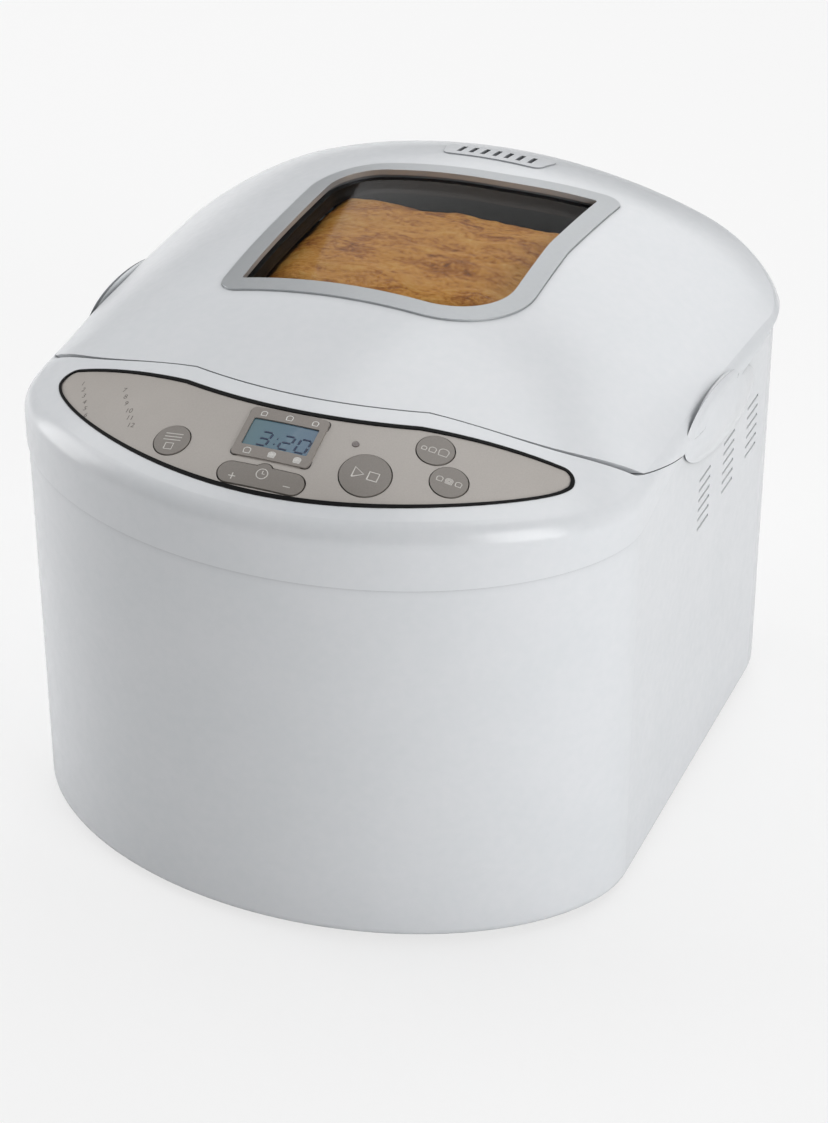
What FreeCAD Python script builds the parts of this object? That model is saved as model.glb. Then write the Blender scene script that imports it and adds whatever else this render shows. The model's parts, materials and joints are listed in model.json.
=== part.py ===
import FreeCAD, Part
import math
import os

# Bread machine, millimetres. X to the right, the front faces -Y, Z up, origin on the floor under the middle.
# Body and housing meet at a seam round the front, and the lid closes the rear part and opens upwards.

# ---- casing ----
front_half_width = 127.2
body_rear_half_width = 131.0
lid_side_overhang = 3.0
front_curve_y = -65.0
body_foot_depth = 77.0
body_rim_depth = 80.6
front_power = 1.74
body_rear_y = 144.0
lid_rear_overhang = 2.0
rear_corner_radius = 50.0
body_floor_z = 3.0
front_seam_z = 169.5
side_seam_z = 178.5
seam_rise_start_y = -72.0
seam_rise_end_y = -20.0
body_wall = 2.6
top_wall = 3.4
seam_gap = 0.4
seam_overhang = 0.8
foot_edge_radius = 4.0
top_edge_radius = 10.0
lid_rear_half_width = body_rear_half_width + lid_side_overhang
lid_rear_y = body_rear_y + lid_rear_overhang
slot_columns = 3
slot_rows = 6
slot_column_pitch = 31.0
slot_row_pitch = 4.6
slot_first_y = 14.5
slot_top_z = 151.0
slot_length = 14.0
slot_height = 1.0
slot_rise = 45.0

# ---- top surface shared by the housing and the lid ----
panel_middle_y = -111.3
panel_middle_z = 209.6
panel_slope = 0.323
crown_y = 10.0
rear_fall = 0.0011
side_fall_front = 0.0033
side_fall_rear = 0.0040
shoulder_drop = 4.0
rear_drop = 6.0
rear_drop_y = 80.0
front_drop = 3.0
front_drop_y = -118.0
crease_half_width = 74.0
crease_middle_y = 35.0
crease_bow = 0.0022
crease_softness = 6.0
crease_slope = 0.10
grid_steps = 28

# ---- lid ----
lid_seam_gap_middle = 0.6
lid_seam_gap_corner = 4.0
gull_middle_y = -90.5
gull_bend_x = 48.0
gull_bend_y = -81.6
gull_wing = ((73.0, -77.8), (98.0, -71.2), (112.0, -64.0))
gull_corner_slope = 0.55
lid_front_edge_z = 190.5
lid_rear_edge_z = 187.0
lid_edge_front_y = -60.0
lid_edge_bend = 13.0
lid_edge_end = 4.0
hinge_y = 139.0
hinge_z = 188.0
hinge_pin_radius = 3.0
hinge_pin_length = 22.0
hinge_ear_x = 72.0
hinge_ear_width = 6.0
hinge_ear_radius = 6.5
hinge_ear_front = 9.0
hinge_ear_back = 1.8
hinge_slot_reach = 16.0
knuckle_width = 8.0
knuckle_radius = 7.0
hinge_side_gap = 0.6
running_gap = 0.05
cord_gland_x = -62.0
cord_gland_z = 28.0
cord_gland_radius = 5.9
cord_gland_bore = 3.4
cord_gland_flange = 8.0
cord_gland_gap = 0.1
window_front_y = -32.0
window_left_x = -63.0
window_right_x = 60.5
window_waist_x = 58.6
window_waist_y = 45.0
window_rear_right_x = 62.5
window_rear_right_y = 108.5
window_rear_bend_x = 15.0
window_rear_bend_y = 96.5
window_rear_left_y = 90.5
window_round_corner = 36.0
window_rear_round_corner = 28.0
window_tight_corner = 9.5
window_rear_tight_corner = 6.5
window_bend_radius = 90.0
window_frame_width = 8.5
window_frame_stand = 0.8
window_seat_depth = 1.6
window_seat_lip = 6.5
window_seat_gap = 0.15
window_glass_overlap = 1.8
window_glass_thickness = 2.0
vent_count = 7
vent_pitch = 5.3
vent_width = 2.0
vent_length = 9.0
vent_y = 121.0
vent_pad_stand = 0.6
vent_pad_root = 1.5
vent_pad_side = 3.0
vent_pad_end = 4.0
vent_pad_flare = 4.0
vent_pad_corner = 4.0
grip_middle_y = 33.0
grip_middle_z = 171.0
grip_half_length = 84.0
grip_half_height = 28.0
grip_depth = 30.0
grip_stand = 3.4
grip_tilt = -11.0
grip_gap = 0.7
liner_depth = 9.0
liner_thickness = 1.0
liner_rim_bottom_z = 180.0
liner_margin = 5.0
liner_opening_margin = 1.0
seal_overlap = 1.5

# ---- control panel ----
lens_tip_x = 106.5
lens_tip_y = -84.0
lens_bottom_depth = 53.0
lens_bottom_power = 0.75
lens_top_middle_y = -97.5
lens_top_bend_x = 48.0
lens_top_bend_y = -89.2
lens_top_end_x = 105.5
lens_top_end_y = -76.6
lens_corner_radius = 5.0
lens_tip_radius = 6.0
trim_width = 1.5
trim_stand = 0.3
panel_thickness = 1.6
panel_recess = 1.8
panel_ledge = 6.0
key_gap = 0.45
key_stand = 0.15
key_flange = 1.0
key_flange_thickness = 1.2
key_travel = 0.8
start_key = (36.9, -8.0, 9.7)
menu_key = (-40.8, -9.8, 7.1)
size_key = (56.6, 13.0, 7.0)
crust_key = (66.3, 0.6, 7.0)
led_place = (28.3, 4.9, 1.3)
led_gap = 0.1
rocker_v = -20.0
rocker_half_length = 17.2
rocker_half_width = 4.6
rocker_bump_radius = 3.4
rocker_bump_v = 2.8
rocker_gap = 0.55
rocker_pivot_depth = 8.0
rocker_leg_x = 11.5
rocker_barrel_radius = 1.6
rocker_barrel_half_length = 3.5
rocker_neck_half_width = 1.2
rocker_leg_radius = 1.4
rocker_cap_depth = 4.5
rocker_switch_offset = 3.0
fulcrum_radius = 3.0
bezel_width = 31.6
bezel_height = 24.2
bezel_corner = 2.0
bezel_stand = 0.5
lcd_width = 26.5
lcd_height = 13.6
lcd_recess = 0.6
lcd_corner = 0.6
lcd_glass_gap = 0.1
lcd_opening_margin = 1.0
display_depth = 2.4
display_side_margin = 1.5
display_end_margin = 2.0
board_depth = 20.0
board_thickness = 1.6
board_half_width = 73.0
board_middle_half_width = 30.0
board_low_v = -28.0
board_wing_v = -14.0
board_boss_x = 25.0
board_high_v = 20.0
board_boss_radius = 3.2
board_boss_bore = 1.3
board_boss_top_depth = 3.0
board_boss_gap = 0.4
board_boss_margin = 0.8
board_hole_radius = 1.6
switch_size = 6.0
switch_height = 2.6
switch_gap = 1.3
switch_base_height = 1.6
switch_plunger_radius = 1.7

# ---- oven chamber ----
oven_y = 37.0
chamber_half_width = 97.0
chamber_half_depth = 84.0
chamber_corner = 32.0
chamber_floor_z = 40.0
chamber_sheet = 1.0
chamber_flange = 4.5
deck_z = 170.0
deck_thickness = 3.0
deck_hole_gap = 0.4
deck_side_gap = 0.3
well_half_width = 92.0
well_front_y = -115.0
well_rear_y = -60.0
upstand_y = 129.0
upstand_half_width = 96.0
upstand_thickness = 2.5
upstand_height = 11.0
element_radius = 3.3
element_half_width = 89.0
element_half_depth = 76.0
element_corner = 28.0
element_z = 60.0
element_tail_x = 18.0
element_tail_bend = 6.0
element_tail_length = 16.0
terminal_radius = 6.0
terminal_head_length = 5.0
terminal_neck_length = 3.0
terminal_neck_step = 1.6
terminal_hole_step = 1.5
terminal_bore_gap = 0.15
clip_width = 5.0
clip_wall = 2.2
clip_gap = 0.1
clip_front_x = 35.0
sensor_z = 110.0
sensor_radius = 3.0
sensor_reach = 12.0
sensor_gap = 0.2
sensor_head_step = 2.5
sensor_head_length = 5.0
fuse_z = 96.0
fuse_radius = 3.0
fuse_length = 16.0
fuse_strap_width = 6.0
fuse_strap_height = 8.0
fuse_strap_wall = 1.0
fuse_lead_radius = 0.8
fuse_lead_length = 8.0

# ---- drive ----
base_thickness = 2.5
base_gap = 0.4
base_post_front_y = -45.0
base_post_rear_y = 92.0
base_post_radius = 4.6
base_post_height = 34.0
base_post_inset = 4.0
screw_depth = 14.0
screw_pilot_radius = 1.7
screw_shank_radius = 1.6
screw_head_radius = 3.4
screw_head_height = 1.8
screw_clearance = 0.4
base_slot_count = 9
base_slot_pitch = 12.0
base_slot_width = 4.0
base_slot_front_y = 55.0
base_slot_rear_y = 100.0
foot_radius = 9.0
foot_stem_radius = 2.5
foot_stem_gap = 0.1
foot_taper = 1.0
foot_front_x = 80.0
foot_front_y = -82.0
foot_rear_x = 92.0
foot_rear_y = 104.0
chassis_z = 24.0
chassis_sheet = 1.5
chassis_post_radius = 4.5
chassis_posts = ((72.0, 96.0), (-72.0, 96.0), (72.0, -22.0), (-76.0, -50.0), (12.0, -112.0))
chassis_half_width = 82.0
chassis_rear_y = 106.0
chassis_step_y = -34.0
chassis_step_lap = 4.0
chassis_step_x = 22.0
chassis_front_y = -122.0
chassis_corner = 8.0
chassis_hole_radius = 1.9
chassis_screw_head_radius = 3.5
chassis_screw_head_height = 2.2
chassis_screw_depth = 9.0
motor_x = -35.0
motor_y = -92.0
motor_radius = 36.0
motor_height = 74.0
motor_shaft_radius = 3.0
motor_shaft_inset = 10.0
motor_top_wall = 8.0
motor_edge_radius = 5.0
motor_opening_radius = 9.0
motor_screw_circle = 26.0
motor_screw_depth = 8.0
motor_screw_radius = 1.5
motor_screw_pilot_radius = 1.7
motor_screw_head_radius = 3.0
motor_screw_head_height = 2.0
motor_slot_count = 8
motor_slot_width = 6.0
motor_slot_depth = 4.0
motor_slot_low = 18.0
motor_slot_high = 52.0
shaft_radius = 4.0
big_pulley_radius = 45.0
small_pulley_radius = 11.0
pulley_z = 10.0
pulley_height = 11.0
pulley_flange = 1.5
pulley_rim = 1.8
pulley_grooves = 4
groove_depth = 1.0
pulley_hole_count = 5
pulley_hole_reach = 0.58
pulley_hole_share = 0.19
belt_width = 7.0
belt_thickness = 2.0
belt_gap = 0.3
bush_radius = 8.0
bush_flange_radius = 16.0
bush_flange_thickness = 2.5
bush_reach = 3.0
bush_hole_gap = 2.0
dog_radius = 9.5
dog_inner_radius = 5.2
dog_hub = 3.2
dog_lug = 4.0
dog_gap = 0.4
dog_angle = 60.0
drive_dog_z = 46.0
shaft_end_gap = 1.0

power_board_x = 26.0
power_board_y = -84.4
power_board_z = 40.0
power_board_width = 76.0
power_board_height = 88.0
bracket_sheet = 1.5
bracket_foot = 14.0
bracket_side = 14.0
bracket_end = 10.0
transformer_box = (8.0, 36.0, 24.0, 10.0, 38.0)
relay_box = (44.0, 64.0, 16.0, 14.0, 34.0)
capacitor_places = ((14.0, 56.0), (30.0, 56.0), (46.0, 52.0))
capacitor_radius = 5.5
capacitor_length = 16.0

# ---- pan ----
pan_floor_z = 58.5
pan_rim_z = 160.0
pan_foot_half_width = 68.0
pan_foot_half_depth = 52.0
pan_rim_half_width = 77.0
pan_rim_half_depth = 60.0
pan_foot_corner = 26.0
pan_rim_corner = 30.0
pan_sheet = 1.2
pan_lip = 3.5
pan_lip_thickness = 1.5
pan_foot_edge_radius = 6.0
pan_floor_edge_radius = 5.0
collar_radius = 33.5
collar_wall = 2.0
collar_height = 13.0
collar_flange = 6.0
collar_flange_thickness = 1.2
seat_radius = 42.0
seat_wall_radius = 37.5
seat_wall = 2.0
seat_thickness = 2.0
seat_height = 10.0
seat_clip_thickness = 0.9
seat_clip_width = 14.0
seat_clip_gap = 0.3
seat_bore_gap = 1.5
seat_hole_inset = 1.2
seat_hole_radius = 1.0
pan_bush_radius = 7.5
pan_bush_flange = 12.0
pan_bush_flange_thickness = 2.0
pan_bush_height = 9.0
pan_bush_reach = 1.2
handle_wire_radius = 2.2
handle_half_width = 86.0
handle_reach = 74.0
handle_corner = 16.0
handle_pivot_z = 150.0
handle_pin_radius = 2.0
handle_pin_length = 7.0
pivot_boss_radius = 5.0
handle_side_gap = 1.0
handle_eye_wall = 1.6
handle_pin_root = 2.0
paddle_hub_radius = 8.0
paddle_hub_height = 24.0
paddle_hub_taper = 1.5
paddle_cap = 2.0
paddle_blade_reach = 40.0
paddle_blade_thickness = 3.5
paddle_blade_height = 26.0
paddle_blade_round = 0.7
paddle_lift = 1.5

V = FreeCAD.Vector
UP = V(0, 0, 1)
KEYS = (start_key, menu_key, size_key, crust_key)
tilt = math.degrees(math.atan(panel_slope))


# ---- helpers ----
def save(shape, name):
    """Write one piece to its own file."""
    shape.exportStep("parts/" + name + ".step")


def block(x0, x1, y0, y1, z0, z1):
    return Part.makeBox(x1 - x0, y1 - y0, z1 - z0, V(x0, y0, z0))


def post(x, y, z0, z1, radius):
    return Part.makeCylinder(radius, z1 - z0, V(x, y, z0))


def tube(x, y, z0, z1, outer, inner):
    return post(x, y, z0, z1, outer).cut(post(x, y, z0 - 1, z1 + 1, inner))


def bar(x0, x1, y, z, radius):
    """A round bar along X."""
    return Part.makeCylinder(radius, x1 - x0, V(x0, y, z), V(1, 0, 0))


def joined(shapes):
    """One solid made of overlapping solids."""
    result = shapes[0]
    for shape in shapes[1:]:
        result = result.fuse(shape)
    return result.removeSplitter()


def group(shapes):
    """Several separate solids that are kept in one file."""
    return Part.makeCompound(shapes)


def one_solid(shape):
    """The largest solid of a cut or common."""
    return max(shape.Solids, key=lambda solid: solid.Volume)


def rounded_rectangle(x_half, y_half, corner, z, y_middle=0.0):
    """Closed wire of four lines and four arcs."""
    edges = []
    signs = ((1, 1), (-1, 1), (-1, -1), (1, -1))
    centres = [V(sx * (x_half - corner), y_middle + sy * (y_half - corner), z) for sx, sy in signs]
    for i, centre in enumerate(centres):
        points = []
        for angle in (90 * i, 90 * i + 45, 90 * i + 90):
            a = math.radians(angle)
            points.append(centre + V(math.cos(a), math.sin(a), 0) * corner)
        edges.append(Part.Arc(*points).toShape())
    closed = []
    for i, edge in enumerate(edges):
        following = edges[(i + 1) % 4]
        closed.append(edge)
        closed.append(Part.makeLine(edge.Vertexes[-1].Point, following.Vertexes[0].Point))
    return Part.Wire(closed)


def prism(wire, height):
    return Part.Face(wire).extrude(V(0, 0, height))


def panel_place(shape):
    """Moves a shape from the panel's own frame, whose Z is the panel's normal."""
    placed = shape.copy()
    placed.rotate(V(0, 0, 0), V(1, 0, 0), tilt)
    placed.translate(V(0, panel_middle_y, panel_middle_z))
    return placed


# ---- casing surfaces ----
def casing_outline(rear_half_width, front_depth, rear_y, inset, z):
    """Plan of the casing: a full front curve, nearly straight sides and two round rear corners."""
    half = front_half_width - inset
    rear_half = rear_half_width - inset
    depth = front_depth - inset
    rear = rear_y - inset
    corner = rear_corner_radius - inset
    steps = 9
    points = []
    for i in range(-steps, steps + 1):
        x = half * math.sin(math.pi / 2 * i / steps)
        bulge = max(1 - (x / half) ** 2, 0) ** (1 / front_power)
        points.append(V(x, front_curve_y - depth * bulge, z))
    front = Part.BSplineCurve()
    front.interpolate(points)
    side_y = rear - corner
    slant = corner * math.sqrt(0.5)
    inner = rear_half - corner
    edges = [
        front.toShape(),
        Part.makeLine(points[-1], V(rear_half, side_y, z)),
        Part.Arc(V(rear_half, side_y, z), V(inner + slant, side_y + slant, z), V(inner, rear, z)).toShape(),
        Part.makeLine(V(inner, rear, z), V(-inner, rear, z)),
        Part.Arc(V(-inner, rear, z), V(-inner - slant, side_y + slant, z), V(-rear_half, side_y, z)).toShape(),
        Part.makeLine(V(-rear_half, side_y, z), points[0]),
    ]
    return Part.Wire(edges)


def body_half_width(y):
    """Half width of the body's outside at a place along its side."""
    side_end = body_rear_y - rear_corner_radius
    share = (y - front_curve_y) / (side_end - front_curve_y)
    return front_half_width + (body_rear_half_width - front_half_width) * share


def top_height(x, y):
    """Height of the crowned top surface, which the lid and the panel share."""
    run = crown_y - panel_middle_y
    front_fall = panel_slope / run
    crown_z = panel_middle_z + panel_slope * run / 2
    fall = front_fall if y < crown_y else rear_fall
    z = crown_z - fall * (y - crown_y) ** 2 / 2
    share = min(max(y / panel_middle_y, 0), 1)
    side_fall = side_fall_rear + (side_fall_front - side_fall_rear) * share ** 2
    z -= side_fall * x ** 2 / 2
    z -= shoulder_drop * (x / front_half_width) ** 6
    if y > rear_drop_y:
        z -= rear_drop * ((y - rear_drop_y) / (lid_rear_y - rear_drop_y)) ** 3
    if y < front_drop_y:
        reach = front_curve_y - body_rim_depth - front_drop_y
        z -= front_drop * ((y - front_drop_y) / reach) ** 2
    crease = crease_half_width + crease_bow * (y - crease_middle_y) ** 2
    outside = min((abs(x) - crease) / crease_softness, 30)
    fade = min(max((y - window_front_y) / 40 + 1.2, 0), 1)
    z -= crease_slope * crease_softness * math.log(1 + math.exp(outside)) * fade
    return z


def top_face():
    """The top surface over the whole plan, with some to spare on every side."""
    x_half = lid_rear_half_width + 14
    y_low = front_curve_y - body_rim_depth - 14
    y_high = lid_rear_y + 14
    rows = []
    for i in range(grid_steps + 1):
        x = -x_half + 2 * x_half * i / grid_steps
        row = []
        for j in range(grid_steps + 1):
            y = y_low + (y_high - y_low) * j / grid_steps
            row.append(V(x, y, top_height(x, y)))
        rows.append(row)
    surface = Part.BSplineSurface()
    surface.interpolate(rows)
    return surface.toShape()


TOP = top_face()


def under_top(offset, depth):
    """Solid that hangs below the top surface, from offset down by depth."""
    face = TOP.copy()
    face.translate(V(0, 0, offset))
    return face.extrude(V(0, 0, -depth))


def top_slab(low, high):
    """Layer between two heights measured from the top surface."""
    return under_top(high, high - low)


def upper_block(inset, drop, edge_radius):
    """Lid and housing together as one block that overhangs the body, with its top edge rounded."""
    low_z = front_seam_z - 6
    rear_half = lid_rear_half_width - seam_overhang
    rear = lid_rear_y - seam_overhang
    wire = casing_outline(rear_half, body_rim_depth, rear, inset - seam_overhang, low_z)
    block_shape = one_solid(prism(wire, 90).common(under_top(-drop, 110)))
    rim = [e for e in block_shape.Edges if e.BoundBox.ZMin > low_z + 4]
    return block_shape.makeFillet(edge_radius, rim)


def side_profile(points, x_half):
    """Solid across the whole width, from a closed outline of Y and Z."""
    corners = [V(-x_half, y, z) for y, z in points]
    corners.append(corners[0])
    return Part.Face(Part.makePolygon(corners)).extrude(V(2 * x_half, 0, 0))


def above_body_rim(gap):
    """Everything above the body's upper edge, which rises along the sides."""
    points = []
    steps = 8
    for i in range(steps + 1):
        share = i / steps
        rise = (1 - math.cos(math.pi * share)) / 2
        y = seam_rise_start_y + (seam_rise_end_y - seam_rise_start_y) * share
        points.append((y, front_seam_z + (side_seam_z - front_seam_z) * rise + gap))
    points.insert(0, (-200, front_seam_z + gap))
    points.append((200, side_seam_z + gap))
    points += [(200, 300), (-200, 300)]
    return side_profile(points, 200)


def gull_gap(x):
    """The lid stands off the housing a little more towards its front corners."""
    wing_start = gull_wing[0][0]
    share = min(max((abs(x) - wing_start) / (front_half_width - wing_start), 0), 1)
    return lid_seam_gap_middle + (lid_seam_gap_corner - lid_seam_gap_middle) * share ** 2


def gull_edges(standoff):
    """The lid's front edge in plan: a bow in the middle and a wing on each side, past the casing."""
    corner_x, corner_y = gull_wing[-1]
    far_x = lid_rear_half_width + top_edge_radius
    wing = [(gull_bend_x, gull_bend_y)] + list(gull_wing)
    wing.append((far_x, corner_y + gull_corner_slope * (far_x - corner_x)))
    bow_y = gull_middle_y + (gull_bend_y - gull_middle_y) / 4
    bow = [(-gull_bend_x, gull_bend_y), (-gull_bend_x / 2, bow_y), (0, gull_middle_y),
           (gull_bend_x / 2, bow_y), (gull_bend_x, gull_bend_y)]
    edges = []
    for line in ([(-x, y) for x, y in reversed(wing)], bow, wing):
        curve = Part.BSplineCurve()
        curve.interpolate([V(x, y + standoff(x), 100) for x, y in line])
        edges.append(curve.toShape())
    return edges


def lid_zone(standoff, drop):
    """Space behind the gull-wing seam and above the lid's lower edge."""
    edges = gull_edges(standoff)
    first = edges[0].Vertexes[0].Point
    last = edges[-1].Vertexes[-1].Point
    far = lid_rear_y + rear_corner_radius
    corners = [last, V(last.x, far, last.z), V(first.x, far, first.z), first]
    edges += [Part.makeLine(a, b) for a, b in zip(corners, corners[1:])]
    zone = prism(Part.Wire(edges), 200)
    low = side_seam_z + seam_gap - drop
    front_low = lid_front_edge_z - drop
    rear_low = lid_rear_edge_z - drop
    edge = [(-200, front_low), (lid_edge_front_y, front_low), (seam_rise_end_y, low),
            (hinge_y - lid_edge_bend, low), (hinge_y - lid_edge_end, rear_low), (far, rear_low),
            (far, 0), (-200, 0)]
    return zone.cut(side_profile(edge, 200))


def body_loft(inset, z0, z1):
    """Body from the foot to above the rim, with the small forward lean of the front."""
    wires = []
    for z in (z0, z1):
        share = (z - body_floor_z) / (side_seam_z - body_floor_z)
        depth = body_foot_depth + (body_rim_depth - body_foot_depth) * share
        wires.append(casing_outline(body_rear_half_width, depth, body_rear_y, inset, z))
    return Part.makeLoft(wires, True, True)


# ---- base and body ----
def base_post_places():
    """Screw posts of the body shell, just inside its side walls."""
    places = []
    for y in (base_post_front_y, base_post_rear_y):
        x = body_half_width(y) - body_wall - base_post_inset
        places += [(x, y), (-x, y)]
    return places


def foot_places():
    return [(foot_rear_x, foot_rear_y), (-foot_rear_x, foot_rear_y),
            (foot_front_x, foot_front_y), (-foot_front_x, foot_front_y)]


def chassis_screw(x, y):
    z = chassis_z + chassis_sheet
    head = post(x, y, z, z + chassis_screw_head_height, chassis_screw_head_radius)
    return joined([head, post(x, y, z - chassis_screw_depth, z + 0.5, screw_shank_radius)])


def base_plate():
    z = body_floor_z
    inset = body_wall + base_gap
    wire = casing_outline(body_rear_half_width, body_foot_depth, body_rear_y, inset, z)
    shape = prism(wire, base_thickness)
    for x, y in chassis_posts:
        shape = shape.fuse(post(x, y, z, chassis_z, chassis_post_radius))
    for x, y in chassis_posts:
        shape = shape.cut(post(x, y, chassis_z - screw_depth, chassis_z + 1, screw_pilot_radius))
    for x, y in foot_places():
        shape = shape.cut(post(x, y, z - 1, z + 5, foot_stem_radius + foot_stem_gap))
    for x, y in base_post_places():
        shape = shape.cut(post(x, y, z - 1, z + 5, screw_shank_radius + screw_clearance))
    half = base_slot_width / 2
    for i in range(base_slot_count):
        x = (i - (base_slot_count - 1) / 2) * base_slot_pitch
        shape = shape.cut(block(x - half, x + half, base_slot_front_y, base_slot_rear_y, z - 1, z + 5))
    return shape.removeSplitter()


def feet():
    shapes = []
    for x, y in foot_places():
        pad = Part.makeCone(foot_radius - foot_taper, foot_radius, body_floor_z, V(x, y, 0))
        stem = post(x, y, body_floor_z, body_floor_z + base_thickness, foot_stem_radius)
        shapes.append(joined([pad, stem]))
    return group(shapes)


def base_screws():
    shapes = []
    for x, y in base_post_places():
        head = post(x, y, body_floor_z - screw_head_height, body_floor_z, screw_head_radius)
        shank = post(x, y, body_floor_z - 0.2, body_floor_z + screw_depth, screw_shank_radius)
        shapes.append(joined([head, shank]))
    return group(shapes)


def side_slots(side):
    """Short louvre slots in the side wall, in columns, each rising inwards to keep splashes out."""
    cuts = []
    for column in range(slot_columns):
        for row in range(slot_rows):
            y = slot_first_y + slot_column_pitch * column
            z = slot_top_z - slot_row_pitch * row
            slot = block(-8, 8, -slot_length / 2, slot_length / 2, -slot_height / 2, slot_height / 2)
            slot.rotate(V(0, 0, 0), V(0, 1, 0), side * slot_rise)
            slot.translate(V(side * body_half_width(y), y, z))
            cuts.append(slot)
    return cuts


def body_shell():
    shell = body_loft(0, body_floor_z, side_seam_z + 8)
    foot_edges = [e for e in shell.Edges if e.BoundBox.ZMax < body_floor_z + 0.5]
    shell = shell.makeFillet(foot_edge_radius, foot_edges)
    shell = shell.cut(body_loft(body_wall, body_floor_z - 1, side_seam_z + 9))
    shell = shell.cut(above_body_rim(0))
    low = body_floor_z + base_thickness
    for x, y in base_post_places():
        shell = shell.fuse(post(x, y, low, low + base_post_height, base_post_radius))
        shell = shell.cut(post(x, y, low - 1, low + screw_depth + 2, screw_pilot_radius))
    for side in (-1, 1):
        shell = shell.cut(side_slots(side))
    return one_solid(shell.cut(gland_bar(-12, 8, cord_gland_radius + cord_gland_gap)))


def gland_bar(start, end, radius):
    """Round bar through the rear wall, between two distances from the wall's outside."""
    return Part.makeCylinder(radius, end - start, V(cord_gland_x, body_rear_y + start, cord_gland_z), V(0, 1, 0))


def cord_gland():
    """Moulded gland in the rear wall that the mains cord enters through."""
    flange_out = gland_bar(0, 2.0, cord_gland_flange)
    flange_in = gland_bar(-body_wall - 2.5, -body_wall, cord_gland_flange - 0.4)
    sleeve = gland_bar(-body_wall - 0.5, 0.5, cord_gland_radius)
    return joined([flange_out, flange_in, sleeve]).cut(gland_bar(-8, 12, cord_gland_bore))


# ---- lens shaped control panel ----
def lens_wire(z, inset):
    """Outline of the panel: a gull-wing top edge over a deep curved lower edge."""
    bend_x = lens_top_bend_x
    bend_y = lens_top_bend_y - inset
    end = V(lens_top_end_x - inset, lens_top_end_y - inset, z)
    middle = V(0, lens_top_middle_y - inset, z)
    bottom_points = []
    steps = 8
    for i in range(-steps, steps + 1):
        share = math.sin(math.pi / 2 * i / steps)
        sag = max(1 - share ** 2, 0) ** lens_bottom_power
        x = (lens_tip_x - inset) * share
        bottom_points.append(V(x, lens_tip_y - inset / 3 - (lens_bottom_depth - inset * 4 / 3) * sag, z))
    bottom = Part.BSplineCurve()
    bottom.interpolate(bottom_points)
    left_bend = V(-bend_x, bend_y, z)
    right_bend = V(bend_x, bend_y, z)
    left_end = V(-end.x, end.y, z)
    return Part.Wire([
        Part.makeLine(left_end, bottom_points[0]),
        bottom.toShape(),
        Part.makeLine(bottom_points[-1], end),
        Part.makeLine(end, right_bend),
        Part.Arc(right_bend, middle, left_bend).toShape(),
        Part.makeLine(left_bend, left_end),
    ])


def lens_prism(inset):
    """Upright solid on the lens outline, smaller by inset all round."""
    shape = prism(lens_wire(150, inset), 100)
    for y, radius in ((lens_top_end_y - inset, lens_corner_radius), (lens_tip_y - inset / 3, lens_tip_radius)):
        corners = [e for e in shape.Edges if upright(e) and abs(e.CenterOfMass.y - y) < 0.01]
        shape = shape.makeFillet(max(radius - inset, 1.0), corners)
    return shape


def key_blank(place, radius, low, high):
    """Cylinder along the panel's normal, in the casing's frame."""
    x, v = place[0], place[1]
    return panel_place(post(x, v, low, high, radius))


def rocker_blank(grow, low, high):
    """Pill with a round bump in the middle of its upper side."""
    reach = rocker_half_length - rocker_half_width
    radius = rocker_half_width + grow
    middle = block(-reach, reach, rocker_v - radius, rocker_v + radius, low, high)
    ends = [post(sx * reach, rocker_v, low, high, radius) for sx in (-1, 1)]
    bump = post(0, rocker_v + rocker_bump_v, low, high, rocker_bump_radius + grow)
    return joined([middle, bump] + ends)


def bezel_blank(x_half, y_half, corner, low, high):
    wire = rounded_rectangle(x_half, y_half, corner, low)
    return prism(wire, high - low)


def panel_openings():
    """Everything that passes through the panel and its ledge."""
    cuts = []
    for key in KEYS:
        cuts.append(key_blank(key, key[2] + key_gap, -20, 20))
    cuts.append(panel_place(rocker_blank(rocker_gap, -20, 20)))
    cuts.append(key_blank(led_place, led_place[2] + led_gap, -20, 20))
    x_half = lcd_width / 2 + lcd_opening_margin
    y_half = lcd_height / 2 + lcd_opening_margin
    cuts.append(panel_place(bezel_blank(x_half, y_half, lcd_opening_margin, -20, 20)))
    return cuts


def control_panel():
    plate = lens_prism(trim_width).common(top_slab(-panel_recess, -panel_recess + panel_thickness))
    for cut in panel_openings():
        plate = plate.cut(cut)
    return one_solid(plate)


def panel_trim():
    ring = lens_prism(0).cut(lens_prism(trim_width))
    return one_solid(ring.common(top_slab(-panel_recess, trim_stand)))


def lcd_bezel():
    """Frame round the display, standing on the panel."""
    outer = bezel_blank(bezel_width / 2, bezel_height / 2, bezel_corner, -6, 6)
    window = bezel_blank(lcd_width / 2, lcd_height / 2, lcd_corner, -8, 8)
    frame = panel_place(outer.cut(window))
    return one_solid(frame.common(top_slab(-panel_recess + panel_thickness, bezel_stand)))


def lcd_glass():
    gap = lcd_glass_gap
    plate = panel_place(bezel_blank(lcd_width / 2 - gap, lcd_height / 2 - gap, lcd_corner - gap, -6, 6))
    return one_solid(plate.common(top_slab(-panel_recess, bezel_stand - lcd_recess)))


def led_lens():
    return one_solid(key_blank(led_place, led_place[2], -4, 6).common(under_top(0.1, 40)))


def beyond_middle(key, other):
    """Space past the middle between two keys, where the first key's flange may not reach."""
    run = other[0] - key[0]
    rise = other[1] - key[1]
    reach = math.hypot(run, rise) / 2 - key_gap
    space = block(reach, reach + 30, -30, 30, -board_depth, 0)
    space.rotate(V(0, 0, 0), UP, math.degrees(math.atan2(rise, run)))
    space.translate(V(key[0], key[1], 0))
    return panel_place(space)


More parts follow.
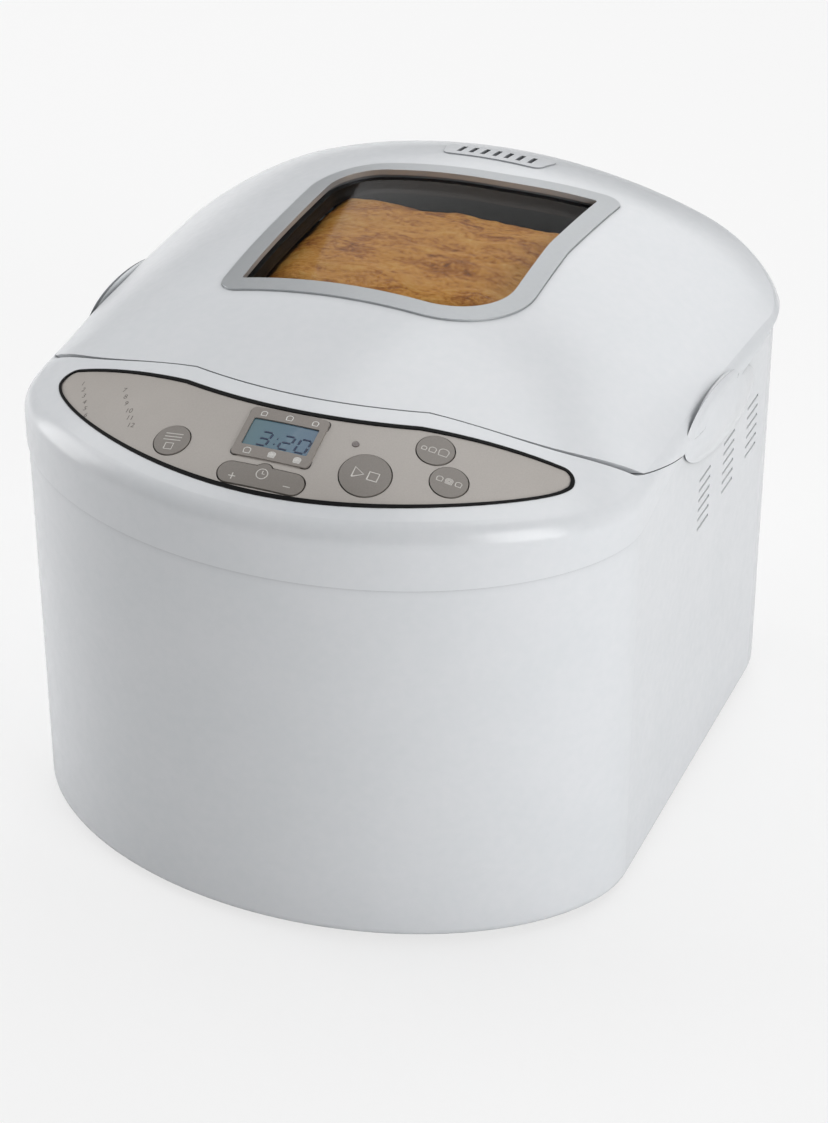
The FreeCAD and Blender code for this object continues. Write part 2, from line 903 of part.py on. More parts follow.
def key_shape(key):
    """Key cap with a flange that stops it behind the panel's ledge."""
    low = switch_gap + switch_height - board_depth
    cap = key_blank(key, key[2], low, 12)
    cap = one_solid(cap.common(under_top(key_stand, 60)))
    flange_top = min_panel_height(key) - top_wall - key_travel
    flange = key_blank(key, key[2] + key_flange, flange_top - key_flange_thickness, flange_top)
    for other in KEYS:
        if other != key:
            flange = flange.cut(beyond_middle(key, other))
    return joined([cap, flange])


def min_panel_height(key):
    """Lowest height of the panel's surface over a key, along the panel's normal."""
    lowest = 99
    for angle in range(0, 360, 30):
        a = math.radians(angle)
        reach = key[2] + key_flange
        x = key[0] + reach * math.cos(a)
        v = key[1] + reach * math.sin(a)
        y = panel_middle_y + v * math.cos(math.radians(tilt))
        plane_z = panel_middle_z + panel_slope * (y - panel_middle_y)
        lowest = min(lowest, (top_height(x, y) - plane_z) * math.cos(math.radians(tilt)))
    return lowest


def rocker_barrel(radius, half_length):
    """Round bar on the rocker's axis, which runs up the panel's slope."""
    start = V(0, rocker_v - half_length, -rocker_pivot_depth)
    return Part.makeCylinder(radius, 2 * half_length, start, V(0, 1, 0))


def timer_rocker():
    """Plus and minus rocker with a barrel to rock on and a leg for each switch."""
    cap = panel_place(rocker_blank(0, -rocker_cap_depth, 12))
    cap = one_solid(cap.common(under_top(key_stand, 60)))
    root = 0.5 - rocker_cap_depth
    low_v = rocker_v - rocker_barrel_half_length
    high_v = rocker_v + rocker_barrel_half_length
    neck = block(-rocker_neck_half_width, rocker_neck_half_width, low_v, high_v, -rocker_pivot_depth, root)
    barrel = rocker_barrel(rocker_barrel_radius, rocker_barrel_half_length)
    low = switch_gap + switch_height - board_depth
    legs = [post(side * rocker_leg_x, rocker_v, low, root, rocker_leg_radius) for side in (-1, 1)]
    return joined([cap, panel_place(joined([neck, barrel]))] + [panel_place(leg) for leg in legs])


def rocker_fulcrum():
    """Post on the board with a round trough that the rocker's barrel turns in."""
    stem = post(0, rocker_v, -board_depth, -rocker_pivot_depth, fulcrum_radius)
    trough = rocker_barrel(rocker_barrel_radius + running_gap, fulcrum_radius + 1)
    return panel_place(stem.cut(trough))


def control_board():
    """Circuit board behind the panel, on four bosses of the housing."""
    low = -board_depth - board_thickness
    half = board_middle_half_width
    middle = block(-half, half, board_low_v, board_high_v, low, -board_depth)
    wings = block(-board_half_width, board_half_width, board_wing_v, board_high_v, low, -board_depth)
    board = joined([middle, wings])
    for x, v in board_boss_places():
        board = board.cut(post(x, v, low - 1, -board_depth + 1, board_hole_radius))
    return panel_place(board)


def board_boss_places():
    """Bosses under the ledge, two above the display and two below it."""
    high = board_high_v - board_boss_radius - board_boss_margin
    low = board_low_v + board_boss_radius + board_boss_margin
    return [(board_boss_x, high), (-board_boss_x, high), (board_boss_x, low), (-board_boss_x, low)]


def key_switches():
    """Small push switches, one behind each key and two behind the rocker."""
    shapes = []
    half = switch_size / 2
    places = [key[:2] for key in KEYS]
    switch_v = rocker_v + rocker_switch_offset
    places += [(rocker_leg_x, switch_v), (-rocker_leg_x, switch_v)]
    for x, v in places:
        low = -board_depth
        base = block(x - half, x + half, v - half, v + half, low, low + switch_base_height)
        plunger = post(x, v, low, low + switch_height, switch_plunger_radius)
        shapes.append(panel_place(joined([base, plunger])))
    return group(shapes)


def display_module():
    x_half = lcd_width / 2 + display_side_margin
    y_half = lcd_height / 2 + display_end_margin
    return panel_place(block(-x_half, x_half, -y_half, y_half, -board_depth, -panel_recess - display_depth))


# ---- housing with the deck round the oven opening ----
def front_housing(outer, inner):
    """Front part of the casing, with the panel's recess and its openings."""
    shell = outer.cut(inner).common(above_body_rim(seam_gap))
    shell = shell.common(block(-200, 200, -200, seam_rise_end_y + 1, 100, 300))
    shell = one_solid(shell.cut(lid_zone(lambda x: 0.0, seam_gap)))
    shell = shell.cut(lens_prism(0).common(top_slab(-panel_recess, 20)))
    return one_solid(shell.cut([lens_prism(panel_ledge)] + panel_openings()))


def deck():
    """Level plate round the oven opening, with an upstand and hinge ears at the back."""
    deck_inset = body_wall + deck_side_gap
    wire = casing_outline(body_rear_half_width, body_rim_depth, body_rear_y, deck_inset, deck_z)
    hole_x = chamber_half_width + chamber_sheet + deck_hole_gap
    hole_y = chamber_half_depth + chamber_sheet + deck_hole_gap
    hole = prism(rounded_rectangle(hole_x, hole_y, chamber_corner, deck_z - 1, oven_y), deck_thickness + 2)
    top = deck_z + deck_thickness
    well = block(-well_half_width, well_half_width, well_front_y, well_rear_y, deck_z - 1, top + 1)
    plate = prism(wire, deck_thickness).cut([hole, well])
    half = upstand_half_width
    upstand_back = upstand_y + upstand_thickness
    upstand = block(-half, half, upstand_y, upstand_back, top - 0.5, top + upstand_height)
    plate = joined([plate, upstand, hinge_ear(-1), hinge_ear(1)])
    reach = hinge_ear_x + 10
    return plate.cut(bar(-reach, reach, hinge_y, hinge_z, hinge_pin_radius))


def upper_housing(outer, inner):
    """Front housing and the deck behind it, moulded as one piece."""
    parts = [front_housing(outer, inner), deck()]
    for x, v in board_boss_places():
        boss = tube(x, v, -board_depth, -board_boss_top_depth, board_boss_radius, board_boss_bore)
        parts.append(panel_place(boss).common(under_top(-panel_recess - board_boss_gap, 60)))
    return one_solid(parts[0].fuse(parts[1:]))


def hinge_ear(side):
    """Upright lug on the deck that holds one hinge pin."""
    x = side * hinge_ear_x
    half = hinge_ear_width / 2
    root = deck_z + deck_thickness - 0.5
    foot = block(x - half, x + half, hinge_y - hinge_ear_front, hinge_y + hinge_ear_back, root, hinge_z)
    eye = bar(x - half, x + half, hinge_y, hinge_z, hinge_ear_radius)
    return joined([foot, eye])


def hinge_pins():
    shapes = []
    outer = hinge_ear_x + hinge_ear_width / 2
    inner = outer - hinge_pin_length
    shapes.append(bar(inner, outer, hinge_y, hinge_z, hinge_pin_radius))
    shapes.append(bar(-outer, -inner, hinge_y, hinge_z, hinge_pin_radius))
    return group(shapes)


# ---- lid ----
def window_corners():
    """Corners of the window in plan with their radii: two are round, the two between them tight."""
    return [
        (window_left_x, window_front_y, window_tight_corner),
        (window_right_x, window_front_y, window_round_corner),
        (window_waist_x, window_waist_y, window_bend_radius),
        (window_rear_right_x, window_rear_right_y, window_rear_tight_corner),
        (window_rear_bend_x, window_rear_bend_y, window_bend_radius),
        (window_left_x, window_rear_left_y, window_rear_round_corner),
    ]


def window_wire(inset, z):
    """Outline of the window, drawn in by the same distance all round."""
    corners = window_corners()
    arcs = []
    for i, (x, y, radius) in enumerate(corners):
        before = V(x - corners[i - 1][0], y - corners[i - 1][1], 0).normalize()
        following = corners[(i + 1) % len(corners)]
        after = V(following[0] - x, following[1] - y, 0).normalize()
        inward = V(-before.y - after.y, before.x + after.x, 0)
        corner = V(x, y, z) + inward * (2 * inset / inward.dot(inward))
        side = 1 if before.cross(after).z > 0 else -1
        drawn = max(radius - side * inset, 1.0)
        reach = drawn * math.tan(before.getAngle(after) / 2)
        centre = corner - before * reach + V(-before.y, before.x, 0) * side * drawn
        middle = centre - inward.normalize() * side * drawn
        arcs.append(Part.Arc(corner - before * reach, middle, corner + after * reach).toShape())
    edges = []
    for i, arc in enumerate(arcs):
        end = arc.Vertexes[-1].Point
        edges += [arc, Part.makeLine(end, arcs[(i + 1) % len(arcs)].Vertexes[0].Point)]
    return Part.Wire(edges)


def upright(edge):
    """True for a straight edge along Z."""
    return edge.BoundBox.XLength < 1e-3 and edge.BoundBox.YLength < 1e-3


def window_prism(inset):
    return prism(window_wire(inset, 150), 120)


def vent_cuts():
    cuts = []
    for i in range(vent_count):
        x = (i - (vent_count - 1) / 2) * vent_pitch
        y0 = vent_y - vent_length / 2
        cuts.append(block(x - vent_width / 2, x + vent_width / 2, y0, y0 + vent_length, 190, 240))
    return cuts


def vent_pad():
    """Slightly raised pad that the steam slots pass through."""
    half = vent_count * vent_pitch / 2 + vent_pad_side
    rear_half = half + vent_pad_flare
    depth = vent_length / 2 + vent_pad_end
    corners = [V(-half, vent_y - depth, 150), V(half, vent_y - depth, 150),
               V(rear_half, vent_y + depth, 150), V(-rear_half, vent_y + depth, 150)]
    pad = Part.Face(Part.makePolygon(corners + [corners[0]])).extrude(V(0, 0, 100))
    edges = [e for e in pad.Edges if upright(e)]
    pad = pad.makeFillet(vent_pad_corner, edges)
    return pad.common(top_slab(-vent_pad_root, vent_pad_stand))


def grip_lobe(side, shrink):
    """Part of a long ellipsoid, tilted along the lid's side, that swells out as a finger grip."""
    matrix = FreeCAD.Matrix()
    matrix.A11 = grip_depth - shrink
    matrix.A22 = grip_half_length - shrink
    matrix.A33 = grip_half_height - shrink
    lobe = Part.makeSphere(1.0).transformGeometry(matrix)
    lobe.rotate(V(0, 0, 0), V(1, 0, 0), grip_tilt)
    outward = lid_half_width(grip_middle_y) + grip_stand - grip_depth
    lobe.translate(V(side * outward, grip_middle_y, grip_middle_z))
    return lobe


def lid_half_width(y):
    """Half width of the lid's outside at a place along its side."""
    side_end = lid_rear_y - rear_corner_radius
    share = (y - front_curve_y) / (side_end - front_curve_y)
    front_half = front_half_width + seam_overhang
    return front_half + (lid_rear_half_width - front_half) * share


def grip(side):
    """One grip: a hollow lobe outside the body's wall, open towards the body."""
    shell = grip_lobe(side, 0).cut(grip_lobe(side, body_wall))
    return shell.cut(body_loft(-grip_gap, grip_middle_z - grip_half_length, grip_middle_z + grip_half_length))


def lid_cover(outer, inner):
    cover = outer.cut(inner).common(lid_zone(gull_gap, 0))
    cover = cover.fuse([one_solid(grip(-1)), one_solid(grip(1))])
    seat = window_prism(0).common(top_slab(-window_seat_depth, 20))
    cover = cover.cut([seat, window_prism(window_seat_lip)])
    cover = cover.fuse([vent_pad(), knuckle(-1, outer), knuckle(1, outer)])
    cuts = vent_cuts()
    slot = hinge_ear_width / 2 + hinge_side_gap
    for side in (-1, 1):
        x = side * hinge_ear_x
        cuts.append(block(x - slot, x + slot, hinge_y - hinge_slot_reach, lid_rear_y + 5, 170, hinge_z + 10))
        bore = hinge_pin_radius + running_gap
        cuts.append(bar(x - hinge_pin_length, x + hinge_pin_length, hinge_y, hinge_z, bore))
    return one_solid(cover.cut(cuts))


def knuckle(side, outer):
    """Rib inside the lid that turns on the hinge pin."""
    near = hinge_ear_x - hinge_ear_width / 2 - hinge_side_gap
    far = near - knuckle_width
    low, high = (far, near) if side > 0 else (-near, -far)
    rib = block(low, high, hinge_y - knuckle_radius, lid_rear_y - top_wall + 0.5, hinge_z, 230)
    rib = rib.common(outer)
    return one_solid(rib.fuse(bar(low, high, hinge_y, hinge_z, knuckle_radius)))


def window_frame():
    """Satin frame let into the lid round the glass."""
    ring = window_prism(window_seat_gap).cut(window_prism(window_frame_width))
    ring = ring.common(top_slab(-window_seat_depth, window_frame_stand))
    return one_solid(ring)


def window_glass():
    """Pane under the frame, resting on its inner lip."""
    top = -window_seat_depth
    pane = window_prism(window_frame_width - window_glass_overlap)
    return one_solid(pane.common(top_slab(top - window_glass_thickness, top)))


def lid_liner():
    """Pressed metal reflector inside the lid, with a rim that reaches down to the oven opening."""
    x_half = chamber_half_width + liner_margin
    y_half = chamber_half_depth + liner_margin
    plan = prism(rounded_rectangle(x_half, y_half, chamber_corner, 150, oven_y), 100)
    inner_plan = prism(rounded_rectangle(x_half - liner_thickness, y_half - liner_thickness,
                                         chamber_corner - liner_thickness, 150, oven_y), 100)
    sheet = plan.common(top_slab(-liner_depth - liner_thickness, -liner_depth))
    rim = plan.cut(inner_plan).common(under_top(-liner_depth, 60))
    rim = rim.common(block(-200, 200, -200, 200, liner_rim_bottom_z, 300))
    opening = window_prism(window_frame_width + liner_opening_margin)
    return one_solid(joined([sheet.cut(opening), rim]))


def window_seal():
    """Silicone seal between the pane and the reflector."""
    inside = window_prism(window_frame_width + liner_opening_margin)
    ring = window_prism(window_frame_width - seal_overlap).cut(inside)
    top = -window_seat_depth - window_glass_thickness
    return one_solid(ring.common(top_slab(-liner_depth, top)))


# ---- oven chamber ----
def chamber_wire(grow, z):
    x_half = chamber_half_width + grow
    return rounded_rectangle(x_half, chamber_half_depth + grow, chamber_corner + grow, z, oven_y)


def oven_chamber():
    """Deep sheet-metal box with a turned-out flange at the top."""
    top = deck_z + deck_thickness
    outside = prism(chamber_wire(chamber_sheet, chamber_floor_z), top - chamber_floor_z + chamber_sheet)
    flange = prism(chamber_wire(chamber_flange, top), chamber_sheet)
    inside = prism(chamber_wire(0, chamber_floor_z + chamber_sheet), 200)
    box = outside.fuse(flange).cut(inside)
    box = box.cut(post(0, oven_y, chamber_floor_z - 1, chamber_floor_z + 3, bush_radius + bush_hole_gap))
    rear = oven_y + chamber_half_depth
    for side in (-1, 1):
        start = V(side * element_tail_x, rear - 2, element_z)
        box = box.cut(Part.makeCylinder(terminal_radius - terminal_hole_step, 6, start, V(0, 1, 0)))
    front = oven_y - chamber_half_depth
    hole = Part.makeCylinder(sensor_radius + sensor_gap, 6, V(0, front - 3, sensor_z), V(0, 1, 0))
    return one_solid(box.cut(hole).removeSplitter())


def element_path():
    """Centre line of the heating element: two tails at the back and a loop round the chamber."""
    x_half = element_half_width
    y_low = oven_y - element_half_depth
    y_high = oven_y + element_half_depth
    corner = element_corner
    bend = element_tail_bend
    slant = corner * (1 - math.sqrt(0.5))
    bend_slant = bend * (1 - math.sqrt(0.5))
    z = element_z

    def half(side):
        tail_x = side * element_tail_x
        start = V(tail_x, y_high + element_tail_length, z)
        bend_in = V(tail_x, y_high + bend, z)
        bend_out = V(side * (element_tail_x + bend), y_high, z)
        bend_mid = V(side * (element_tail_x + bend_slant), y_high + bend_slant, z)
        a = V(side * (x_half - corner), y_high, z)
        b = V(side * x_half, y_high - corner, z)
        ab = V(side * (x_half - slant), y_high - slant, z)
        c = V(side * x_half, y_low + corner, z)
        d = V(side * (x_half - corner), y_low, z)
        cd = V(side * (x_half - slant), y_low + slant, z)
        return [Part.makeLine(start, bend_in), Part.Arc(bend_in, bend_mid, bend_out).toShape(),
                Part.makeLine(bend_out, a), Part.Arc(a, ab, b).toShape(), Part.makeLine(b, c),
                Part.Arc(c, cd, d).toShape()], d

    left, left_end = half(-1)
    right, right_end = half(1)
    edges = left + [Part.makeLine(left_end, right_end)] + right
    return Part.Wire(Part.__sortEdges__(edges))


def heating_element():
    path = element_path()
    start = V(-element_tail_x, oven_y + element_half_depth + element_tail_length, element_z)
    section = Part.Wire(Part.makeCircle(element_radius, start, V(0, 1, 0)))
    return path.makePipeShell([section], True, False)


def element_terminals():
    """Ceramic bushes that carry the element's ends through the rear wall."""
    shapes = []
    wall = oven_y + chamber_half_depth + chamber_sheet
    for side in (-1, 1):
        x = side * element_tail_x
        head = Part.makeCylinder(terminal_radius, terminal_head_length, V(x, wall, element_z), V(0, 1, 0))
        start = V(x, wall + 0.5 - terminal_neck_length, element_z)
        neck = Part.makeCylinder(terminal_radius - terminal_neck_step, terminal_neck_length, start, V(0, 1, 0))
        bore = Part.makeCylinder(element_radius + terminal_bore_gap, 20, V(x, wall - 8, element_z), V(0, 1, 0))
        shapes.append(joined([head, neck]).cut(bore))
    return group(shapes)


def element_clips():
    """Small brackets that hold the element off the chamber's walls."""
    shapes = []
    half = clip_width / 2
    reach = element_radius + clip_wall
    bore_radius = element_radius + clip_gap
    for side in (-1, 1):
        x0 = element_half_width - reach
        x1 = chamber_half_width
        low, high = (x0, x1) if side > 0 else (-x1, -x0)
        bracket = block(low, high, oven_y - half, oven_y + half, element_z - reach, element_z + reach)
        start = V(side * element_half_width, oven_y - 10, element_z)
        bore = Part.makeCylinder(bore_radius, 20, start, V(0, 1, 0))
        shapes.append(bracket.cut(bore))
    front = oven_y - element_half_depth
    for x in (-clip_front_x, clip_front_x):
        bracket = block(x - half, x + half, oven_y - chamber_half_depth, front + reach,
                        element_z - reach, element_z + reach)
        bore = bar(x - 10, x + 10, front, element_z, bore_radius)
        shapes.append(bracket.cut(bore))
    return group(shapes)


def temperature_sensor():
    front = oven_y - chamber_half_depth
    probe = Part.makeCylinder(sensor_radius, sensor_reach + 6, V(0, front - 6, sensor_z), V(0, 1, 0))
    start = V(0, front - chamber_sheet - sensor_head_length, sensor_z)
    head = Part.makeCylinder(sensor_radius + sensor_head_step, sensor_head_length, start, V(0, 1, 0))
    return joined([probe, head])


def thermal_fuse():
    """Cut-out strapped to the outside of the chamber's left wall."""
    wall = -chamber_half_width - chamber_sheet
    x = wall - fuse_radius
    half = fuse_length / 2
    can = Part.makeCylinder(fuse_radius, fuse_length, V(x, oven_y - half, fuse_z), V(0, 1, 0))
    strap_half = fuse_strap_width / 2
    strap_outside = wall - 2 * fuse_radius - fuse_strap_wall
    low = fuse_z - fuse_strap_height / 2
    high = fuse_z + fuse_strap_height / 2
    strap = block(strap_outside, wall, oven_y - strap_half, oven_y + strap_half, low, high)
    leads = []
    for start in (0.5 - half - fuse_lead_length, half - 0.5):
        place = V(x, oven_y + start, fuse_z)
        leads.append(Part.makeCylinder(fuse_lead_radius, fuse_lead_length, place, V(0, 1, 0)))
    return joined([can, strap] + leads)


def pan_seat():
    """Cup on the chamber floor that the pan's collar stands in."""
    low = chamber_floor_z + chamber_sheet
    disc = post(0, oven_y, low, low + seat_thickness, seat_radius)
    wall = tube(0, oven_y, low, low + seat_height, seat_wall_radius + seat_wall, seat_wall_radius)
    seat = joined([disc, wall]).cut(post(0, oven_y, low - 1, low + 20, dog_radius + seat_bore_gap))
    reach = seat_radius - seat_hole_inset
    for angle in (45, 135, 225, 315):
        a = math.radians(angle)
        x = reach * math.cos(a)
        seat = seat.cut(post(x, oven_y + reach * math.sin(a), low - 1, low + 9, seat_hole_radius))
    return seat


def seat_clips():
    """Two spring leaves that grip the pan's collar."""
    low = chamber_floor_z + chamber_sheet + seat_thickness
    shapes = []
    for side in (-1, 1):
        outer = seat_wall_radius - seat_clip_gap
        ring = tube(0, oven_y, low, low + seat_height - 1, outer, outer - seat_clip_thickness)
        half = seat_clip_width / 2
        window = block(0, 60, oven_y - half, oven_y + half, low - 1, low + 30)
        if side < 0:
            window = block(-60, 0, oven_y - half, oven_y + half, low - 1, low + 30)
        shapes.append(one_solid(ring.common(window)))
    return group(shapes)


# ---- drive ----
def drive_chassis():
    """Steel plate that carries the motor and the drive bearing on the base's posts."""
    z = chassis_z
    half = chassis_half_width
    rear = block(-half, half, chassis_step_y, chassis_rear_y, z, z + chassis_sheet)
    front_end = chassis_step_y + chassis_step_lap
    front = block(-half, chassis_step_x, chassis_front_y, front_end, z, z + chassis_sheet)
    plate = joined([rear, front])
    corners = [e for e in plate.Edges if upright(e)]
    plate = plate.makeFillet(chassis_corner, corners)
    plate = plate.cut(post(0, oven_y, z - 1, z + 3, bush_radius))
    plate = plate.cut(post(motor_x, motor_y, z - 1, z + 3, motor_opening_radius))
    for x, y in chassis_posts:
        plate = plate.cut(post(x, y, z - 1, z + 3, chassis_hole_radius))
    for x, y in motor_screw_places():
        plate = plate.cut(post(x, y, z - 1, z + 3, chassis_hole_radius))
    return plate


def chassis_screws():
    return group([chassis_screw(x, y) for x, y in chassis_posts])


def motor_screw_places():
    places = []
    for angle in (45, 135, 225, 315):
        a = math.radians(angle)
        x = motor_x + motor_screw_circle * math.cos(a)
        places.append((x, motor_y + motor_screw_circle * math.sin(a)))
    return places


def motor_housing():
    z = chassis_z + chassis_sheet
    can = post(motor_x, motor_y, z, z + motor_height, motor_radius)
    edges = [e for e in can.Edges if abs(e.BoundBox.ZMin - z - motor_height) < 0.1 and e.Closed]
    can = can.makeFillet(motor_edge_radius, edges)
    bore_end = z + motor_height - motor_top_wall
    can = can.cut(post(motor_x, motor_y, z - 1, bore_end, motor_shaft_radius + running_gap))
    for x, y in motor_screw_places():
        can = can.cut(post(x, y, z - 1, z + motor_screw_depth, motor_screw_pilot_radius))
    half = motor_slot_width / 2
    inside = motor_radius - motor_slot_depth
    outside = motor_radius + motor_slot_depth
    for i in range(motor_slot_count):
        slot = block(inside, outside, -half, half, z + motor_slot_low, z + motor_slot_high)
        slot.rotate(V(0, 0, 0), UP, 360 * i / motor_slot_count)
        slot.translate(V(motor_x, motor_y, 0))
        can = can.cut(slot)
    return can


def motor_screws():
    shapes = []
    z = chassis_z
    for x, y in motor_screw_places():
        head = post(x, y, z - motor_screw_head_height, z, motor_screw_head_radius)
        shapes.append(joined([head, post(x, y, z - 0.5, z + motor_screw_depth, motor_screw_radius)]))
    return group(shapes)


def grooved_pulley(x, y, radius, bore):
    """Pulley with two flanges and four belt grooves between them."""
    z = pulley_z
    rim = radius + pulley_rim
    low = z + pulley_flange
    high = z + pulley_height - pulley_flange
    step = (high - low) / pulley_grooves
    profile = [(bore, z), (rim, z), (rim, low)]
    for i in range(pulley_grooves):
        profile.append((radius, low + step * i))
        profile.append((radius - groove_depth, low + step * (i + 0.5)))
    profile += [(radius, high), (rim, high), (rim, z + pulley_height), (bore, z + pulley_height)]
    points = [V(x + r, y, h) for r, h in profile]
    face = Part.Face(Part.makePolygon(points + [points[0]]))
    return face.revolve(V(x, y, 0), UP, 360)


def drive_pulley():
    pulley = grooved_pulley(0, oven_y, big_pulley_radius, shaft_radius)
    reach = big_pulley_radius * pulley_hole_reach
    hole_radius = big_pulley_radius * pulley_hole_share
    for i in range(pulley_hole_count):
        a = 2 * math.pi * i / pulley_hole_count
        pulley = pulley.cut(post(reach * math.cos(a), oven_y + reach * math.sin(a), 0, 40, hole_radius))
    return pulley


def motor_pulley():
    return grooved_pulley(motor_x, motor_y, small_pulley_radius, motor_shaft_radius)


def belt_loop(grow):
    """Face bounded by two arcs and the two outer tangents of the pulleys."""
    a = V(0, oven_y, 0)
    b = V(motor_x, motor_y, 0)
    ra = big_pulley_radius + grow
    rb = small_pulley_radius + grow
    line = b - a
    distance = line.Length
    heading = math.atan2(line.y, line.x)
    spread = math.acos((ra - rb) / distance)
    z = pulley_z + (pulley_height - belt_width) / 2

    def at(centre, radius, angle):
        return V(centre.x + radius * math.cos(angle), centre.y + radius * math.sin(angle), z)

    p1 = at(a, ra, heading + spread)
    p2 = at(a, ra, heading + math.pi)
    p3 = at(a, ra, heading - spread)
    q1 = at(b, rb, heading - spread)
    q2 = at(b, rb, heading)
    q3 = at(b, rb, heading + spread)
    wire = Part.Wire([Part.Arc(p1, p2, p3).toShape(), Part.makeLine(p3, q1),
                      Part.Arc(q1, q2, q3).toShape(), Part.makeLine(q3, p1)])
    return Part.Face(wire)


def drive_belt():
    outer = belt_loop(belt_gap + belt_thickness).extrude(V(0, 0, belt_width))
    inner = belt_loop(belt_gap).extrude(V(0, 0, belt_width))
    return outer.cut(inner)


def drive_bearing():
    """Sintered bush pressed into the chassis, reaching up through the chamber floor."""
    z = chassis_z + chassis_sheet
    body = post(0, oven_y, chassis_z, chamber_floor_z + chamber_sheet + bush_reach, bush_radius)
    flange = post(0, oven_y, z, z + bush_flange_thickness, bush_flange_radius)
    return joined([body, flange]).cut(post(0, oven_y, 0, 80, shaft_radius + running_gap))


def drive_shaft():
    return post(0, oven_y, pulley_z - 1, drive_dog_z + dog_hub, shaft_radius)


def dog_lugs(z0, z1, middle):
    """Two opposite lugs of a dog clutch."""
    ring = tube(0, oven_y, z0, z1, dog_radius, dog_inner_radius)
    lugs = []
    for turn in (0, 180):
        wedge = Part.makeCylinder(dog_radius + 2, z1 - z0 + 2, V(0, 0, z0 - 1), UP, dog_angle)
        wedge.rotate(V(0, 0, 0), UP, middle - dog_angle / 2 + turn)
        wedge.translate(V(0, oven_y, 0))
        lugs.append(ring.common(wedge))
    return lugs


def drive_dog():
    z = drive_dog_z
    hub = tube(0, oven_y, z, z + dog_hub, dog_radius, shaft_radius)
    return joined([hub] + dog_lugs(z + dog_hub - 0.2, z + dog_hub + dog_lug, 90))


def motor_shaft():
    z = chassis_z + chassis_sheet
    return post(motor_x, motor_y, pulley_z - 1, z + motor_height - motor_shaft_inset, motor_shaft_radius)


# ---- pan ----
def pan_wire(x_half, y_half, corner, z):
    return rounded_rectangle(x_half, y_half, corner, z, oven_y)


def bread_pan():
    """Drawn aluminium pan with a turned-out lip and two pivot bosses."""
    foot = (pan_foot_half_width, pan_foot_half_depth, pan_foot_corner)
    rim = (pan_rim_half_width, pan_rim_half_depth, pan_rim_corner)
    outside = Part.makeLoft([pan_wire(*foot, pan_floor_z), pan_wire(*rim, pan_rim_z)], True, True)
    t = pan_sheet
    inner_foot = pan_wire(foot[0] - t, foot[1] - t, foot[2] - t, pan_floor_z + t)
    inner_rim = pan_wire(rim[0] - t, rim[1] - t, rim[2] - t, pan_rim_z + 0.01)
    inside = Part.makeLoft([inner_foot, inner_rim], True, True)
    bottom_edges = [e for e in outside.Edges if e.BoundBox.ZMax < pan_floor_z + 0.1]
    outside = outside.makeFillet(pan_foot_edge_radius, bottom_edges)
    floor_edges = [e for e in inside.Edges if e.BoundBox.ZMax < pan_floor_z + t + 0.1]
    inside = inside.makeFillet(pan_floor_edge_radius, floor_edges)
    lip = prism(pan_wire(rim[0] + pan_lip, rim[1] + pan_lip, rim[2] + pan_lip, pan_rim_z - pan_lip_thickness),
                pan_lip_thickness)
    pan = outside.fuse(lip)
    boss_end = handle_half_width - handle_wire_radius - handle_side_gap
    for side in (-1, 1):
        low, high = (pan_foot_half_width, boss_end) if side > 0 else (-boss_end, -pan_foot_half_width)
        pan = pan.fuse(bar(low, high, oven_y, handle_pivot_z, pivot_boss_radius))
    pan = pan.cut(inside)
    for side in (-1, 1):
        depth = handle_pin_length + running_gap * 4
        low, high = (boss_end - depth + 2, boss_end + 2) if side > 0 else (-boss_end - 2, -boss_end + depth - 2)
        pan = pan.cut(bar(low, high, oven_y, handle_pivot_z, handle_pin_radius + running_gap))
    pan = pan.cut(post(0, oven_y, pan_floor_z - 1, pan_floor_z + 5, pan_bush_radius))
    return one_solid(pan.removeSplitter())


def pan_collar():
    """Ring under the pan that drops into the seat."""
    top = pan_floor_z
    ring = tube(0, oven_y, top - collar_height, top, collar_radius + collar_wall, collar_radius)
    flange = tube(0, oven_y, top - collar_flange_thickness, top, collar_radius + collar_flange, collar_radius)
    return joined([ring, flange])


def pan_bush():
    z = pan_floor_z
    body = post(0, oven_y, z - pan_bush_reach, z + pan_bush_height, pan_bush_radius)
    flange_top = z + pan_sheet + pan_bush_flange_thickness
    flange = post(0, oven_y, z + pan_sheet, flange_top, pan_bush_flange)
    return joined([body, flange]).cut(post(0, oven_y, 0, 120, shaft_radius + running_gap))


def pan_coupling():
    """Upper half of the clutch, under the pan."""
    top = pan_floor_z - pan_bush_reach - dog_gap
    z = drive_dog_z + dog_hub + dog_lug + dog_gap
    hub = tube(0, oven_y, z, top, dog_radius, shaft_radius)
    return joined([hub] + dog_lugs(z - dog_lug, z + 0.2, 0))


def pan_shaft():
    z = drive_dog_z + dog_hub + shaft_end_gap
    top = pan_floor_z + pan_bush_height + paddle_lift + paddle_hub_height - paddle_cap
    return post(0, oven_y, z, top, shaft_radius)


def kneading_paddle():
    """Hub on the pan's shaft with one swept blade."""
    z = pan_floor_z + pan_bush_height + paddle_lift
    top_radius = paddle_hub_radius - paddle_hub_taper
    hub = Part.makeCone(paddle_hub_radius, top_radius, paddle_hub_height, V(0, oven_y, z))
    half = paddle_blade_thickness / 2
    blade = block(0, paddle_blade_reach, oven_y - half, oven_y + half, z, z + paddle_blade_height)
    tip = [e for e in blade.Edges if e.BoundBox.XMin > paddle_blade_reach - 0.1 and e.BoundBox.ZLength < 1
           and e.BoundBox.ZMin > z + 5]
    blade = blade.makeFillet(paddle_blade_height * paddle_blade_round, tip)
    return joined([hub, blade]).cut(post(0, oven_y, z - 1, z + paddle_hub_height - paddle_cap, shaft_radius))


